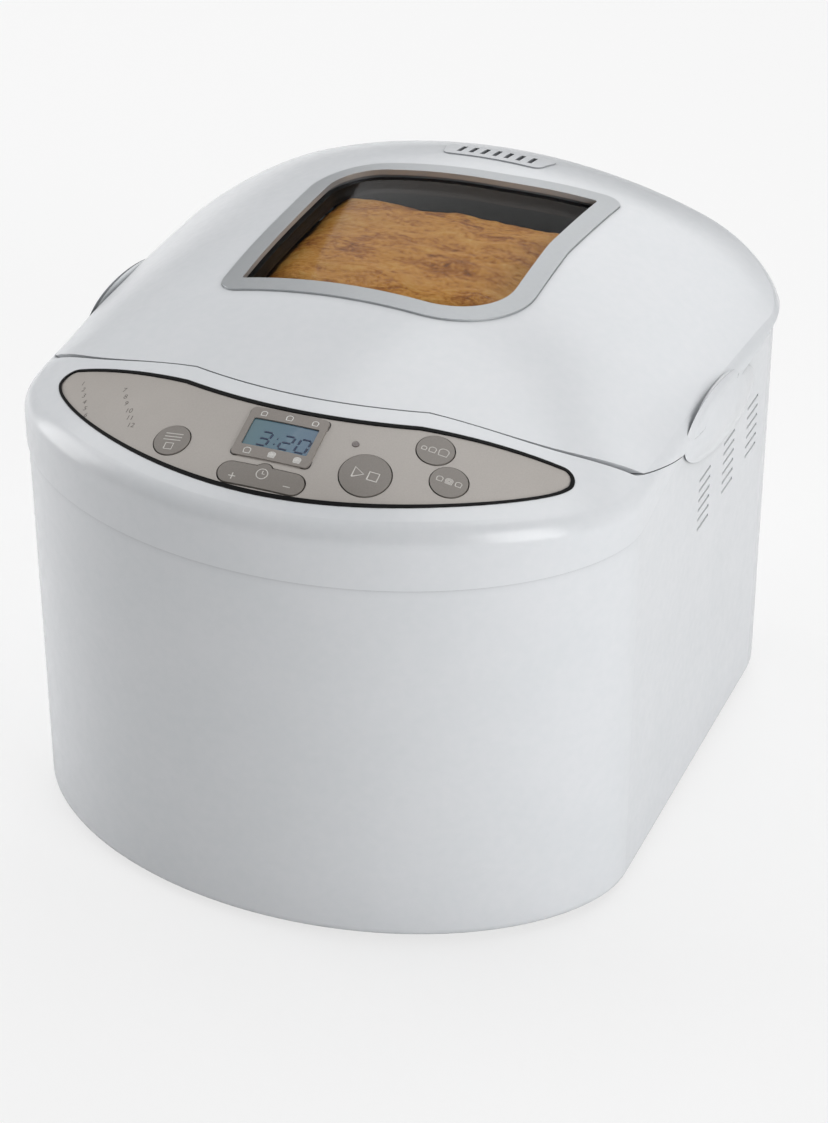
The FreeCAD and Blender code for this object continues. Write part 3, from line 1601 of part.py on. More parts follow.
def pan_handle():
    """Wire bail that lies forward of the pan's rim and swings up."""
    z = handle_pivot_z
    y0 = oven_y
    y1 = oven_y - handle_reach
    w = handle_half_width
    c = handle_corner
    s = c * (1 - math.sqrt(0.5))
    edges = [Part.makeLine(V(-w, y0, z), V(-w, y1 + c, z)),
             Part.Arc(V(-w, y1 + c, z), V(-w + s, y1 + s, z), V(-w + c, y1, z)).toShape(),
             Part.makeLine(V(-w + c, y1, z), V(w - c, y1, z)),
             Part.Arc(V(w - c, y1, z), V(w - s, y1 + s, z), V(w, y1 + c, z)).toShape(),
             Part.makeLine(V(w, y1 + c, z), V(w, y0, z))]
    section = Part.Wire(Part.makeCircle(handle_wire_radius, V(-w, y0, z), V(0, 1, 0)))
    bail = Part.Wire(edges).makePipeShell([section], True, False)
    parts = [bail]
    for side in (-1, 1):
        near = side * w - handle_wire_radius
        eye = bar(near, near + 2 * handle_wire_radius, y0, z, handle_wire_radius + handle_eye_wall)
        start = w - handle_pin_length - handle_wire_radius + handle_pin_root
        low, high = (start, w) if side > 0 else (-w, -start)
        parts += [eye, bar(low, high, y0, z, handle_pin_radius)]
    return joined(parts)


# ---- electronics in the front bulge ----
def power_board():
    x = power_board_x
    y = power_board_y
    z = power_board_z
    return block(x, x + power_board_width, y - board_thickness, y, z, z + power_board_height)


def power_parts():
    """Transformer, relay and capacitors on the power board."""
    x = power_board_x
    z = power_board_z
    face = power_board_y - board_thickness
    shapes = []
    for left, right, depth, bottom, top in (transformer_box, relay_box):
        shapes.append(block(x + left, x + right, face - depth, face, z + bottom, z + top))
    for dx, dz in capacitor_places:
        start = V(x + dx, face, z + dz)
        shapes.append(Part.makeCylinder(capacitor_radius, capacitor_length, start, V(0, -1, 0)))
    return group(shapes)


def board_bracket():
    """Angle that stands the power board on the base."""
    x0 = power_board_x
    x1 = power_board_x + power_board_width
    y = power_board_y
    low = body_floor_z + base_thickness
    foot = block(x0, x1, y, y + bracket_foot, low, low + bracket_sheet)
    wall = block(x0, x1, y, y + bracket_sheet, low, power_board_z + power_board_height)
    shape = joined([foot, wall])
    opening_low = power_board_z + bracket_end
    opening_high = power_board_z + power_board_height - bracket_end
    return shape.cut(block(x0 + bracket_side, x1 - bracket_side, y - 1, y + bracket_sheet + 1,
                           opening_low, opening_high))


def main():
    os.makedirs("parts", exist_ok=True)
    outer = upper_block(0, 0, top_edge_radius)
    inner = upper_block(top_wall + seam_overhang, top_wall, top_edge_radius - top_wall)
    save(base_plate(), "base_plate")
    save(feet(), "feet")
    save(base_screws(), "base_screws")
    save(body_shell(), "body_shell")
    save(cord_gland(), "cord_gland")
    save(upper_housing(outer, inner), "upper_housing")
    save(hinge_pins(), "hinge_pins")
    save(control_panel(), "control_panel")
    save(panel_trim(), "panel_trim")
    save(lcd_bezel(), "lcd_bezel")
    save(lcd_glass(), "lcd_glass")
    save(led_lens(), "led_lens")
    save(control_board(), "control_board")
    save(key_switches(), "key_switches")
    save(display_module(), "display_module")
    save(key_shape(start_key), "start_key")
    save(key_shape(menu_key), "menu_key")
    save(key_shape(size_key), "size_key")
    save(key_shape(crust_key), "crust_key")
    save(timer_rocker(), "timer_rocker")
    save(rocker_fulcrum(), "rocker_fulcrum")
    save(lid_cover(outer, inner), "lid_cover")
    save(window_frame(), "window_frame")
    save(window_glass(), "window_glass")
    save(window_seal(), "window_seal")
    save(lid_liner(), "lid_liner")
    save(oven_chamber(), "oven_chamber")
    save(heating_element(), "heating_element")
    save(element_terminals(), "element_terminals")
    save(element_clips(), "element_clips")
    save(temperature_sensor(), "temperature_sensor")
    save(thermal_fuse(), "thermal_fuse")
    save(pan_seat(), "pan_seat")
    save(seat_clips(), "seat_clips")
    save(drive_chassis(), "drive_chassis")
    save(chassis_screws(), "chassis_screws")
    save(motor_housing(), "motor_housing")
    save(motor_screws(), "motor_screws")
    save(drive_belt(), "drive_belt")
    save(drive_bearing(), "drive_bearing")
    save(drive_shaft(), "drive_shaft")
    save(drive_pulley(), "drive_pulley")
    save(drive_dog(), "drive_dog")
    save(motor_shaft(), "motor_shaft")
    save(motor_pulley(), "motor_pulley")
    save(bread_pan(), "bread_pan")
    save(pan_collar(), "pan_collar")
    save(pan_bush(), "pan_bush")
    save(pan_coupling(), "pan_coupling")
    save(pan_shaft(), "pan_shaft")
    save(kneading_paddle(), "kneading_paddle")
    save(pan_handle(), "pan_handle")
    save(power_board(), "power_board")
    save(power_parts(), "power_parts")
    save(board_bracket(), "board_bracket")


main()
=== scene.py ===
import json
import math

import bmesh
import bpy
from mathutils import Matrix, Vector, noise

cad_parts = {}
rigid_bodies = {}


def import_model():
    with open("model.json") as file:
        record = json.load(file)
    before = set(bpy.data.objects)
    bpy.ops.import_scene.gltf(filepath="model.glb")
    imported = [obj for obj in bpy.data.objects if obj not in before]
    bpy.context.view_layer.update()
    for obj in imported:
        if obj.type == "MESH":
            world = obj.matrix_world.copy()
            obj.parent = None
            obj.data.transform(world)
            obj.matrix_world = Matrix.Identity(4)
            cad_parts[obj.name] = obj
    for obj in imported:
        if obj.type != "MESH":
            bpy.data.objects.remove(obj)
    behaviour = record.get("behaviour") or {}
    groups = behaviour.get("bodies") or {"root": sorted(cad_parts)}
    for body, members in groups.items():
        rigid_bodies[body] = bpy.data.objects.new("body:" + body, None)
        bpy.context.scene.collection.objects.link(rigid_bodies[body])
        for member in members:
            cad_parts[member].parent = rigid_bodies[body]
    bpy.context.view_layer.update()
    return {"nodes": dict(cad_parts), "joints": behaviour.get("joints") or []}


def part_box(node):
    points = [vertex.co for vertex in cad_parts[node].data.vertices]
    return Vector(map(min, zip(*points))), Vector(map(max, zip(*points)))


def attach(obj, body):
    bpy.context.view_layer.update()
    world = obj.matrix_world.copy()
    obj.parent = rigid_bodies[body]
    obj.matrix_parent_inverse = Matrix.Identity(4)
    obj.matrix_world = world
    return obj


for leftover in list(bpy.data.objects):
    bpy.data.objects.remove(leftover)
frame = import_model()
bpy.context.view_layer.update()


# ---- Studio ----
# A pale worktop in soft light from large lamps overhead and beside the machine. The camera looks
# down on its front and right side, as a person standing at a kitchen counter would.
def placed(name, data):
    """Makes an object in the scene from a mesh, a lamp or a camera."""
    holder = bpy.data.objects.new(name, data)
    bpy.context.scene.collection.objects.link(holder)
    return holder


def stand(name, data, place, target):
    """Puts a camera or a lamp at one place and turns it to face another."""
    holder = placed(name, data)
    holder.location = place
    holder.rotation_mode = "QUATERNION"
    holder.rotation_quaternion = (target - place).to_track_quat("-Z", "Y")
    return holder


view_azimuth = math.radians(21.57)
view_height = math.radians(32.55)
view_distance = 1.3936
aim = Vector((0.0, 0.023, 0.084))
back = Vector((
    math.sin(view_azimuth) * math.cos(view_height),
    -math.cos(view_azimuth) * math.cos(view_height),
    math.sin(view_height),
))
camera_data = bpy.data.cameras.new("camera")
camera_data.lens = 105
camera_data.sensor_width = 36
camera_data.shift_x = 0.0010
camera_data.shift_y = -0.0187
camera_data.clip_start = 0.01
bpy.context.scene.camera = stand("camera", camera_data, aim + back * view_distance, aim)
bpy.context.scene.view_settings.view_transform = "Standard"

lamp_target = Vector((0.0, 0.0, 0.12))
for name, place, width, depth, watts in (
    ("overhead", (0.2, 0.5, 1.6), 1.4, 1.0, 9.5),
    ("rear", (0.0, 1.7, 1.0), 2.0, 0.9, 9.0),
    ("right", (1.5, -0.85, 0.55), 0.9, 1.3, 18.5),
    ("left", (-1.6, -0.1, 0.5), 1.0, 1.2, 13.5),
    ("top_left", (-1.0, 0.2, 1.4), 1.0, 1.0, 5.0),
):
    lamp_data = bpy.data.lights.new(name, "AREA")
    lamp_data.shape = "RECTANGLE"
    lamp_data.size = width
    lamp_data.size_y = depth
    lamp_data.energy = watts
    stand(name, lamp_data, Vector(place), lamp_target)


def linear(code):
    """sRGB hex code to linear RGBA."""
    channels = [int(code[i:i + 2], 16) / 255 for i in (0, 2, 4)]
    return [c / 12.92 if c <= 0.04045 else ((c + 0.055) / 1.055) ** 2.4 for c in channels] + [1.0]


def add(tree, kind, settings=(), links=()):
    """Adds a shader node, sets its sockets or attributes, and links what feeds it."""
    node = tree.nodes.new("ShaderNode" + kind)
    for name, value in dict(settings).items():
        if isinstance(name, int) or name in node.inputs:
            node.inputs[name].default_value = value
        else:
            setattr(node, name, value)
    for name, socket in dict(links).items():
        tree.links.new(socket, node.inputs[name])
    return node


world = bpy.data.worlds.new("studio")
bpy.context.scene.world = world
world.use_nodes = True
sky = world.node_tree
sky.nodes.clear()
rays = add(sky, "LightPath")
seen_rays = {0: rays.outputs["Is Camera Ray"], 1: rays.outputs["Is Transmission Ray"]}
seen = add(sky, "Math", {"operation": "MAXIMUM"}, seen_rays)
level = add(sky, "MapRange", {"To Min": 0.05, "To Max": 1.0}, {"Value": seen.outputs[0]})
glow = add(sky, "Background", {"Color": linear("FCFDFF")}, {"Strength": level.outputs[0]})
add(sky, "OutputWorld", {}, {"Surface": glow.outputs[0]})


def baked(name, shape, material):
    """Turns an edit mesh into a mesh of one material."""
    mesh = bpy.data.meshes.new(name)
    shape.to_mesh(mesh)
    shape.free()
    mesh.materials.append(material)
    return mesh


# To the camera most of the worktop is plain white; the rest takes the machine's soft shadow.
white_share = 0.72
worktop_half = 4.0
laminate = bpy.data.materials.new("matt white laminate")
laminate.use_nodes = True
laminate_tree = laminate.node_tree
laminate_tree.nodes.clear()
rays = add(laminate_tree, "LightPath")
share_settings = {"operation": "MULTIPLY", 1: white_share}
share = add(laminate_tree, "Math", share_settings, {0: rays.outputs["Is Camera Ray"]})
paint = add(laminate_tree, "BsdfDiffuse", {"Color": linear("F2F2F2")})
lit = add(laminate_tree, "Emission", {"Color": linear("FFFFFF"), "Strength": 1.0})
layers = {0: share.outputs[0], 1: paint.outputs[0], 2: lit.outputs[0]}
mixed = add(laminate_tree, "MixShader", {}, layers)
add(laminate_tree, "OutputMaterial", {}, {"Surface": mixed.outputs[0]})
worktop_shape = bmesh.new()
bmesh.ops.create_grid(worktop_shape, x_segments=1, y_segments=1, size=worktop_half)
worktop = placed("worktop", baked("worktop", worktop_shape, laminate))


# ---- Outer shells: lower casing, upper housing, lid ----
# Injection-moulded ABS in a polished tool, wall 2.6 to 3.4 mm. The lower casing is one tub open at
# the top and bottom, the upper housing clips into its rim, and the lid hangs on two pins at the back.
mm = 0.001


def new_material(name):
    """A material with its tree and its shader."""
    material = bpy.data.materials.new(name)
    material.use_nodes = True
    return material, material.node_tree, material.node_tree.nodes["Principled BSDF"]


def blend(tree, share, under, over):
    """Mixes two colours by the share of the second; each is a hex code or a socket."""
    mix = add(tree, "Mix", {"data_type": "RGBA"}, {0: share})
    under_input, over_input = mix.inputs[6], mix.inputs[7]
    for colour, end in ((under, under_input), (over, over_input)):
        if isinstance(colour, str):
            end.default_value = linear(colour)
        else:
            tree.links.new(colour, end)
    return mix.outputs[2]


def finish(name, light, dark, grain, gloss, relief=0.0, stretch=(1, 1, 1), **shader_values):
    """A finish whose colour, gloss and relief vary with its grain and with broad handling marks.

    The grain and the relief are in mm, the gloss is the least and the greatest roughness.
    """
    material, tree, shader = new_material(name)
    place = add(tree, "TexCoord")
    turned = add(tree, "Mapping", {"Scale": stretch}, {"Vector": place.outputs["Object"]})
    fine = add(tree, "TexNoise", {"Scale": 1 / (grain * mm), "Detail": 3}, {"Vector": turned.outputs[0]})
    broad = add(tree, "TexNoise", {"Scale": 28, "Detail": 2}, {"Vector": place.outputs["Object"]})
    half = add(tree, "Math", {"operation": "MULTIPLY", 1: 0.5}, {0: broad.outputs["Fac"]})
    parts = {0: fine.outputs["Fac"], 2: half.outputs[0]}
    both = add(tree, "Math", {"operation": "MULTIPLY_ADD", 1: 0.5}, parts)
    spread = add(tree, "MapRange", {"From Min": 0.35, "From Max": 0.65}, {"Value": both.outputs[0]})
    tree.links.new(blend(tree, spread.outputs[0], dark, light), shader.inputs["Base Color"])
    sheen = add(tree, "MapRange", {"To Min": gloss[0], "To Max": gloss[1]}, {"Value": spread.outputs[0]})
    tree.links.new(sheen.outputs[0], shader.inputs["Roughness"])
    if relief:
        bump = add(tree, "Bump", {"Distance": relief * mm}, {"Height": fine.outputs["Fac"]})
        tree.links.new(bump.outputs[0], shader.inputs["Normal"])
    for socket, value in shader_values.items():
        shader.inputs[socket.replace("_", " ")].default_value = value
    return material


def tint(material, share, code):
    """Lays a second colour over a finish, by the share that a socket gives."""
    tree = material.node_tree
    base = tree.nodes["Principled BSDF"].inputs["Base Color"]
    plain = base.links[0].from_socket
    tree.links.new(blend(tree, share, plain, code), base)


def dress(material, *nodes):
    """Gives a finish to carried-over pieces."""
    for node in nodes:
        frame["nodes"][node].material_slots[0].material = material


# High-gloss white, faintly cool, with the slight orange peel of a moulded face. Painted shade darkens
# it a little in the corners of its seams, where ambient occlusion finds a crevice.
white_abs = finish("polished white ABS", "EDEFF2", "E9ECEF", 4.0, (0.21, 0.25), 0.0015)
abs_tree = white_abs.node_tree
# Painted shade: the white is greyed wherever ambient occlusion finds a crevice within 4 mm, chiefly
# along the seams.
seam_occlusion = add(abs_tree, "AmbientOcclusion", {"Distance": 4 * mm, "samples": 8})
seam_shade_range = {"From Min": 0.55, "From Max": 0.97, "To Min": 0.75, "To Max": 0.0}
painted_seam_shade = add(abs_tree, "MapRange", seam_shade_range, {"Value": seam_occlusion.outputs["AO"]})
tint(white_abs, painted_seam_shade.outputs[0], "83868A")
dress(white_abs, "body_shell", "upper_housing", "lid_cover")


# ---- Grip roots ----
# Each finger grip swells out of the lid's side. Its upper rim is rolled over to the rounded edge of
# the lid in the same white moulding.
root_half = Vector((0.0046, 0.0456, 0.0152))
root_inset = 0.0057
root_middle = Vector((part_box("lid_cover")[1].x - root_inset, 0.033, 0.171))
root_lean = Matrix.Rotation(math.radians(-11.0), 4, "X")
root_low_z = 0.1805
for name, side in (("grip_root_left", -1), ("grip_root_right", 1)):
    root = bmesh.new()
    bmesh.ops.create_icosphere(root, subdivisions=5, radius=1.0)
    shift = Matrix.Translation((side * root_middle.x, root_middle.y, root_middle.z))
    root.transform(shift @ root_lean @ Matrix.Diagonal((*root_half, 1.0)))
    for face in root.faces:
        face.smooth = True
    everything = root.verts[:] + root.edges[:] + root.faces[:]
    bmesh.ops.bisect_plane(
        root, geom=everything, plane_co=(0, 0, root_low_z), plane_no=(0, 0, -1), clear_outer=True
    )
    bmesh.ops.holes_fill(root, edges=[e for e in root.edges if e.is_boundary], sides=0)
    root_piece = placed(name, baked(name, root, white_abs))
    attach(root_piece, "lid")


# ---- Base ----
# A glass-filled nylon tray that closes the casing from below, held by four screws.
# Four rubber feet are pushed through it by their stems.
base_nylon = finish("glass-filled nylon", "232427", "18191B", 0.9, (0.45, 0.62), 0.02)
dress(base_nylon, "base_plate", "cord_gland", "rocker_fulcrum")
foot_rubber = finish("nitrile rubber", "2B2C2E", "1D1E1F", 1.2, (0.6, 0.8), 0.03)
dress(foot_rubber, "feet")
bright_zinc = finish("bright zinc plate", "B9BCBD", "8F9395", 0.8, (0.24, 0.40), 0.01, Metallic=1.0)
dress(bright_zinc, "base_screws", "chassis_screws", "motor_screws", "hinge_pins")


# ---- Control panel ----
# A lens-shaped polycarbonate overlay in warm satin grey, bonded into a recess and edged with a thin
# black moulded line. Its marks are screen printed.
panel_film = finish("satin grey polycarbonate film", "BDB7B1", "B3ADA7", 0.5, (0.34, 0.44), 0.004)
dress(panel_film, "control_panel")
trim_black = finish("black elastomer", "0C0C0D", "070708", 0.8, (0.50, 0.60), Specular_IOR_Level=0.15)
dress(trim_black, "panel_trim")
key_plastic = finish("satin grey ABS", "8D8781", "837D77", 0.6, (0.36, 0.46), 0.006)
dress(key_plastic, "start_key", "menu_key", "size_key", "crust_key", "timer_rocker")
bezel_paint = finish("satin grey painted ABS", "948D87", "8A837D", 0.6, (0.32, 0.42), 0.004)
dress(bezel_paint, "lcd_bezel")
lens_smoke = finish("smoked polycarbonate", "5A4A46", "463936", 1.0, (0.12, 0.2), Coat_Weight=0.5)
dress(lens_smoke, "led_lens")

joints = {joint["name"]: joint for joint in frame["joints"]}
panel_out = -Vector(joints["start_press"]["axis"]).normalized()
panel_up = Vector(joints["timer_rock"]["axis"]).normalized()
panel_across = Vector((1.0, 0.0, 0.0))
glass_low, glass_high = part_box("lcd_glass")
panel_middle = (glass_low + glass_high) / 2
# Prints are cast onto the panel from well outside it. The start and the lift are in mm.
ray_start = 40
print_lift = 0.02
line_flatten = 0.2


def on_panel(x, up, grounds):
    """The outermost point of some pieces over a place on the panel, in mm across and up its slope."""
    start = panel_middle + (panel_across * x + panel_up * up + panel_out * ray_start) * mm
    places = []
    for ground in grounds:
        hit, place, _, _ = frame["nodes"][ground].ray_cast(start, -panel_out)
        if hit:
            places.append(place)
    return max(places, key=lambda place: place.dot(panel_out))


def place_of(node):
    """A piece's place on the panel, in mm across and up its slope."""
    low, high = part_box(node)
    offset = (low + high) / 2 - panel_middle
    return offset.x / mm, offset.dot(panel_up) / mm


def mesh_of(name, curve):
    """The mesh that a curve or a text makes."""
    holder = bpy.data.objects.new(name, curve)
    mesh = bpy.data.meshes.new_from_object(holder)
    bpy.data.objects.remove(holder)
    return mesh


def lay(mesh, name, grounds, body, material, flatten=1.0):
    """Makes a flat mesh drawn in mm into a thin print that follows the panel's curve."""
    for vertex in mesh.vertices:
        x, up, height = vertex.co
        ground = on_panel(x, up, grounds)
        vertex.co = ground + panel_out * (height * flatten + print_lift) * mm
    mesh.name = name
    mesh.materials.clear()
    mesh.materials.append(material)
    piece = placed(name, mesh)
    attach(piece, body)


def print_lines(name, lines, width, grounds, body, material):
    """Prints open or closed lines of one width; each line is a list of places in mm."""
    curve = bpy.data.curves.new(name, "CURVE")
    curve.dimensions = "3D"
    curve.bevel_depth = width / 2
    curve.bevel_resolution = 1
    curve.use_fill_caps = True
    for line in lines:
        spline = curve.splines.new("POLY")
        spline.points.add(len(line) - 1)
        for point, (x, up) in zip(spline.points, line):
            point.co = (x, up, 0, 1)
    lay(mesh_of(name, curve), name, grounds, body, material, line_flatten)


def print_numbers(name, numbers, size, grounds, body, material):
    """Prints numbers; each is its text and the place in mm where it starts."""
    whole = bmesh.new()
    for text, (x, up) in numbers:
        curve = bpy.data.curves.new(name, "FONT")
        curve.body = text
        curve.size = size
        curve.extrude = print_lift
        mesh = mesh_of(name, curve)
        mesh.transform(Matrix.Translation((x, up, 0)))
        whole.from_mesh(mesh)
    lay(baked(name, whole, material), name, grounds, body, material)


def closed(*places):
    """A line that ends where it starts."""
    return [*places, places[0]]


def arc(x, up, radius, start, end, steps, squash=1.0):
    """Points along an arc, angles in degrees."""
    angles = [math.radians(start + (end - start) * i / steps) for i in range(steps + 1)]
    return [(x + radius * math.cos(a), up + radius * squash * math.sin(a)) for a in angles]


def loaf_slice(x, up, width):
    """Outline of a slice of tin loaf: straight sides under a domed top."""
    half = width / 2
    shoulder_up = up + half * 0.3
    dome_half = half * 1.15
    dome = arc(x, shoulder_up, dome_half, 0, 180, steps=10, squash=0.75)
    return closed((x - half, up - half), (x + half, up - half), *dome)


pale_ink = finish("pale grey screen ink", "DEDAD5", "D2CEC9", 0.6, (0.5, 0.6))
grey_ink = finish("grey screen ink", "7A746F", "706A65", 0.6, (0.5, 0.6))
white_ink = finish("white screen ink", "ECEBE8", "E2E0DC", 0.6, (0.5, 0.6))
programme_rows = 6
row_drop = 3.8
row_step = 2.15
number_size = 3.3
column_starts = ((-95.0, 18.6), (-73.5, 13.8))
numbers = []
for column, (x, up) in enumerate(column_starts):
    for row in range(programme_rows):
        number = str(column * programme_rows + row + 1)
        numbers.append((number, (x + row * row_step, up - row * row_drop)))
print_numbers(
    "programme_numbers", numbers, number_size, ["control_panel"], "machine", grey_ink
)


def mark_key(name, lines, width, key, body):
    """Prints a mark on a key in pale ink."""
    print_lines(name, lines, width, [key], body, pale_ink)


# Start and stop: a triangle and a square. All marks are drawn in mm from the middle of their key.
x, up = place_of("start_key")
tail, tip, tail_half = x - 4.6, x - 0.6, 2.4
near, far, side_half = x + 1.2, x + 5.0, 1.9
low, high = up - side_half, up + side_half
lines = [
    closed((tail, up - tail_half), (tail, up + tail_half), (tip, up)),
    closed((near, low), (near, high), (far, high), (far, low)),
]
mark_key("start_mark", lines, 0.55, "start_key", "start_button")

# Menu: three list lines over a small page.
x, up = place_of("menu_key")
top_line, line_step, line_half = up + 2.9, 1.5, 3.6
list_ups = [top_line - i * line_step for i in range(3)]
lines = [[(x - line_half, line_up), (x + line_half, line_up)] for line_up in list_ups]
left, right, low, high = x - 1.8, x + 1.4, up - 4.6, up - 1.7
lines.append(closed((left, low), (right, low), (right, high), (left, high)))
mark_key("menu_mark", lines, 0.45, "menu_key", "menu_button")

# Loaf size: three slices that grow.
x, up = place_of("size_key")
growing = ((-4.2, -0.6, 1.6), (-1.0, -0.3, 2.3), (3.2, 0.0, 3.2))
lines = [loaf_slice(x + aside, up + drop, width) for aside, drop, width in growing]
mark_key("size_mark", lines, 0.35, "size_key", "size_button")

# Crust: three slices, the middle one filled.
x, up = place_of("crust_key")
slice_gap = 3.6
lines = [loaf_slice(x + aside, up, 2.0) for aside in (-slice_gap, slice_gap)]
lines += [loaf_slice(x, up, width) for width in (2.4, 1.6, 0.8)]
mark_key("crust_mark", lines, 0.35, "crust_key", "crust_button")

# Timer: plus and minus, with a clock face on the bump.
x, up = place_of("timer_rocker")
mark_drop = 1.2
up -= mark_drop
plus, minus, sign_half = x - 11.0, x + 11.0, 1.4
clock_up, clock_radius, long_hand, short_hand = up + 3.2, 2.2, 1.4, 1.0
lines = [
    [(plus - sign_half, up), (plus + sign_half, up)],
    [(plus, up - sign_half), (plus, up + sign_half)],
    [(minus - sign_half, up), (minus + sign_half, up)],
    arc(x, clock_up, clock_radius, 0, 360, steps=24),
    [(x, clock_up + long_hand), (x, clock_up), (x + short_hand, clock_up)],
]
mark_key("timer_mark", lines, 0.4, "timer_rocker", "timer_button")

# A thin dark line round the display's bezel is painted shade, standing in for the shadow in the gap
# between the bezel and the panel. The box of the sloping bezel is a little longer than the bezel
# itself, so the line is drawn in at both ends.
low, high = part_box("lcd_bezel")
side_clear, end_draw_in, round_corner = 0.25, 0.2, 2.0
half_across = (high.x - low.x) / 2 / mm + side_clear
half_up = (high - low).dot(panel_up) / 2 / mm - end_draw_in
outline = []
for turn, (sx, sy) in enumerate(((1, 1), (-1, 1), (-1, -1), (1, -1))):
    x = sx * (half_across - round_corner)
    up = sy * (half_up - round_corner)
    outline += arc(x, up, round_corner, 90 * turn, 90 * turn + 90, steps=4)
# Painted shade: a dark grey line laid like a print where the gap round the bezel falls into shadow.
bezel_gap_shade = finish("painted shade round bezel", "3E3B39", "363331", 0.6, (0.5, 0.6))
print_lines(
    "bezel_shade_line", [closed(*outline)], 0.5, ["control_panel"], "machine", bezel_gap_shade
)

# Course marks above and below the display, two of the lower ones filled.
mark_up, mark_down = 9.2, -9.6
lines = [loaf_slice(x, mark_up, width) for x, width in ((-10.2, 2.0), (0.2, 2.2), (10.6, 2.0))]
lines.append(loaf_slice(-9.6, mark_down, 2.4))
for x in (0.4, 10.6):
    lines += [loaf_slice(x, mark_down, width) for width in (2.4, 1.7, 1.0, 0.4)]
print_lines("display_marks", lines, 0.34, ["lcd_bezel"], "machine", white_ink)


# ---- Display ----
# A reflective twisted-nematic glass behind the bezel. Its polariser looks blue, greener towards the
# left, and the driven segments are dark navy.
def display_glass():
    """Blue polariser under clear glass."""
    material, tree, shader = new_material("blue display glass")
    place = add(tree, "TexCoord")
    parts = add(tree, "SeparateXYZ", {}, {"Vector": place.outputs["Object"]})
    sides = {"From Min": glass_low.x, "From Max": glass_high.x}
    across = add(tree, "MapRange", sides, {"Value": parts.outputs[0]})
    grain = add(tree, "TexNoise", {"Scale": 1400.0, "Detail": 2}, {"Vector": place.outputs["Object"]})
    slight = add(tree, "MapRange", {"To Min": -0.15, "To Max": 0.15}, {"Value": grain.outputs["Fac"]})
    both = {0: across.outputs[0], 1: slight.outputs[0]}
    share = add(tree, "Math", {"operation": "ADD", "use_clamp": True}, both)
    tree.links.new(blend(tree, share.outputs[0], "3F6A76", "2F5C7A"), shader.inputs["Base Color"])
    shader.inputs["Roughness"].default_value = 0.18
    shader.inputs["Coat Weight"].default_value = 0.3
    shader.inputs["Coat Roughness"].default_value = 0.05
    return material


dress(display_glass(), "lcd_glass")
segment_ink = finish("navy display segment", "22375A", "1A2C4A", 0.4, (0.3, 0.4))
digit_width = 4.2
digit_height = 6.6
digit_lean = 0.9
digit_foot = -5.6
segment_gap = 0.5
corners = {
    "a": ((0, 2), (1, 2)), "b": ((1, 2), (1, 1)), "c": ((1, 1), (1, 0)), "d": ((0, 0), (1, 0)),
    "e": ((0, 0), (0, 1)), "f": ((0, 1), (0, 2)), "g": ((0, 1), (1, 1)),
}
lit_segments = {"3": "abgcd", "2": "abged", "0": "abcdef"}
lines = []
for digit, x in (("3", -8.2), ("2", 0.8), ("0", 7.4)):
    for segment in lit_segments[digit]:
        ends = []
        for i, j in corners[segment]:
            lean = j * digit_lean / 2
            ends.append(Vector((x + i * digit_width + lean, digit_foot + j * digit_height / 2)))
        along = (ends[1] - ends[0]).normalized() * segment_gap
        lines.append([tuple(ends[0] + along), tuple(ends[1] - along)])
colon_left, colon_width, colon_lean = -1.4, 0.4, 0.14
for height in (1.6, 4.4):
    left = colon_left + height * colon_lean
    lines.append([(left, digit_foot + height), (left + colon_width, digit_foot + height)])
print_lines("display_digits", lines, 0.85, ["lcd_glass"], "machine", segment_ink)


# ---- Lid window ----
# A satin aluminium-look frame is clipped round a toughened glass pane, with a black silicone seal
# under it and a pressed, coated steel liner that closes the oven.
frame_silver = finish("satin silver lacquer", "BFC2C4", "BABDC0", 2.0, (0.40, 0.44), Metallic=0.4)
dress(frame_silver, "window_frame")
seal_silicone = finish("black silicone", "141415", "0E0E0F", 1.0, (0.5, 0.65), 0.02)
dress(seal_silicone, "window_seal")
liner_coat = finish("dark coated steel", "222326", "17181A", 1.4, (0.30, 0.42), 0.008)
dress(liner_coat, "lid_liner", "oven_chamber")


def clear_pane():
    """Clear glass that lets the light through and reflects more at a low angle."""
    material, tree, shader = new_material("toughened clear glass")
    shader.inputs["Base Color"].default_value = linear("0C0F10")
    place = add(tree, "TexCoord")
    smears = add(tree, "TexNoise", {"Scale": 40.0, "Detail": 3}, {"Vector": place.outputs["Object"]})
    gloss = add(tree, "MapRange", {"To Min": 0.02, "To Max": 0.06}, {"Value": smears.outputs["Fac"]})
    tree.links.new(gloss.outputs[0], shader.inputs["Roughness"])
    edge = add(tree, "LayerWeight", {"Blend": 0.5})
    steep = add(tree, "Math", {"operation": "POWER", 1: 4.0}, {0: edge.outputs["Facing"]})
    cover = add(tree, "MapRange", {"To Min": 0.06, "To Max": 0.60}, {"Value": steep.outputs[0]})
    tree.links.new(cover.outputs[0], shader.inputs["Alpha"])
    return material


dress(clear_pane(), "window_glass")


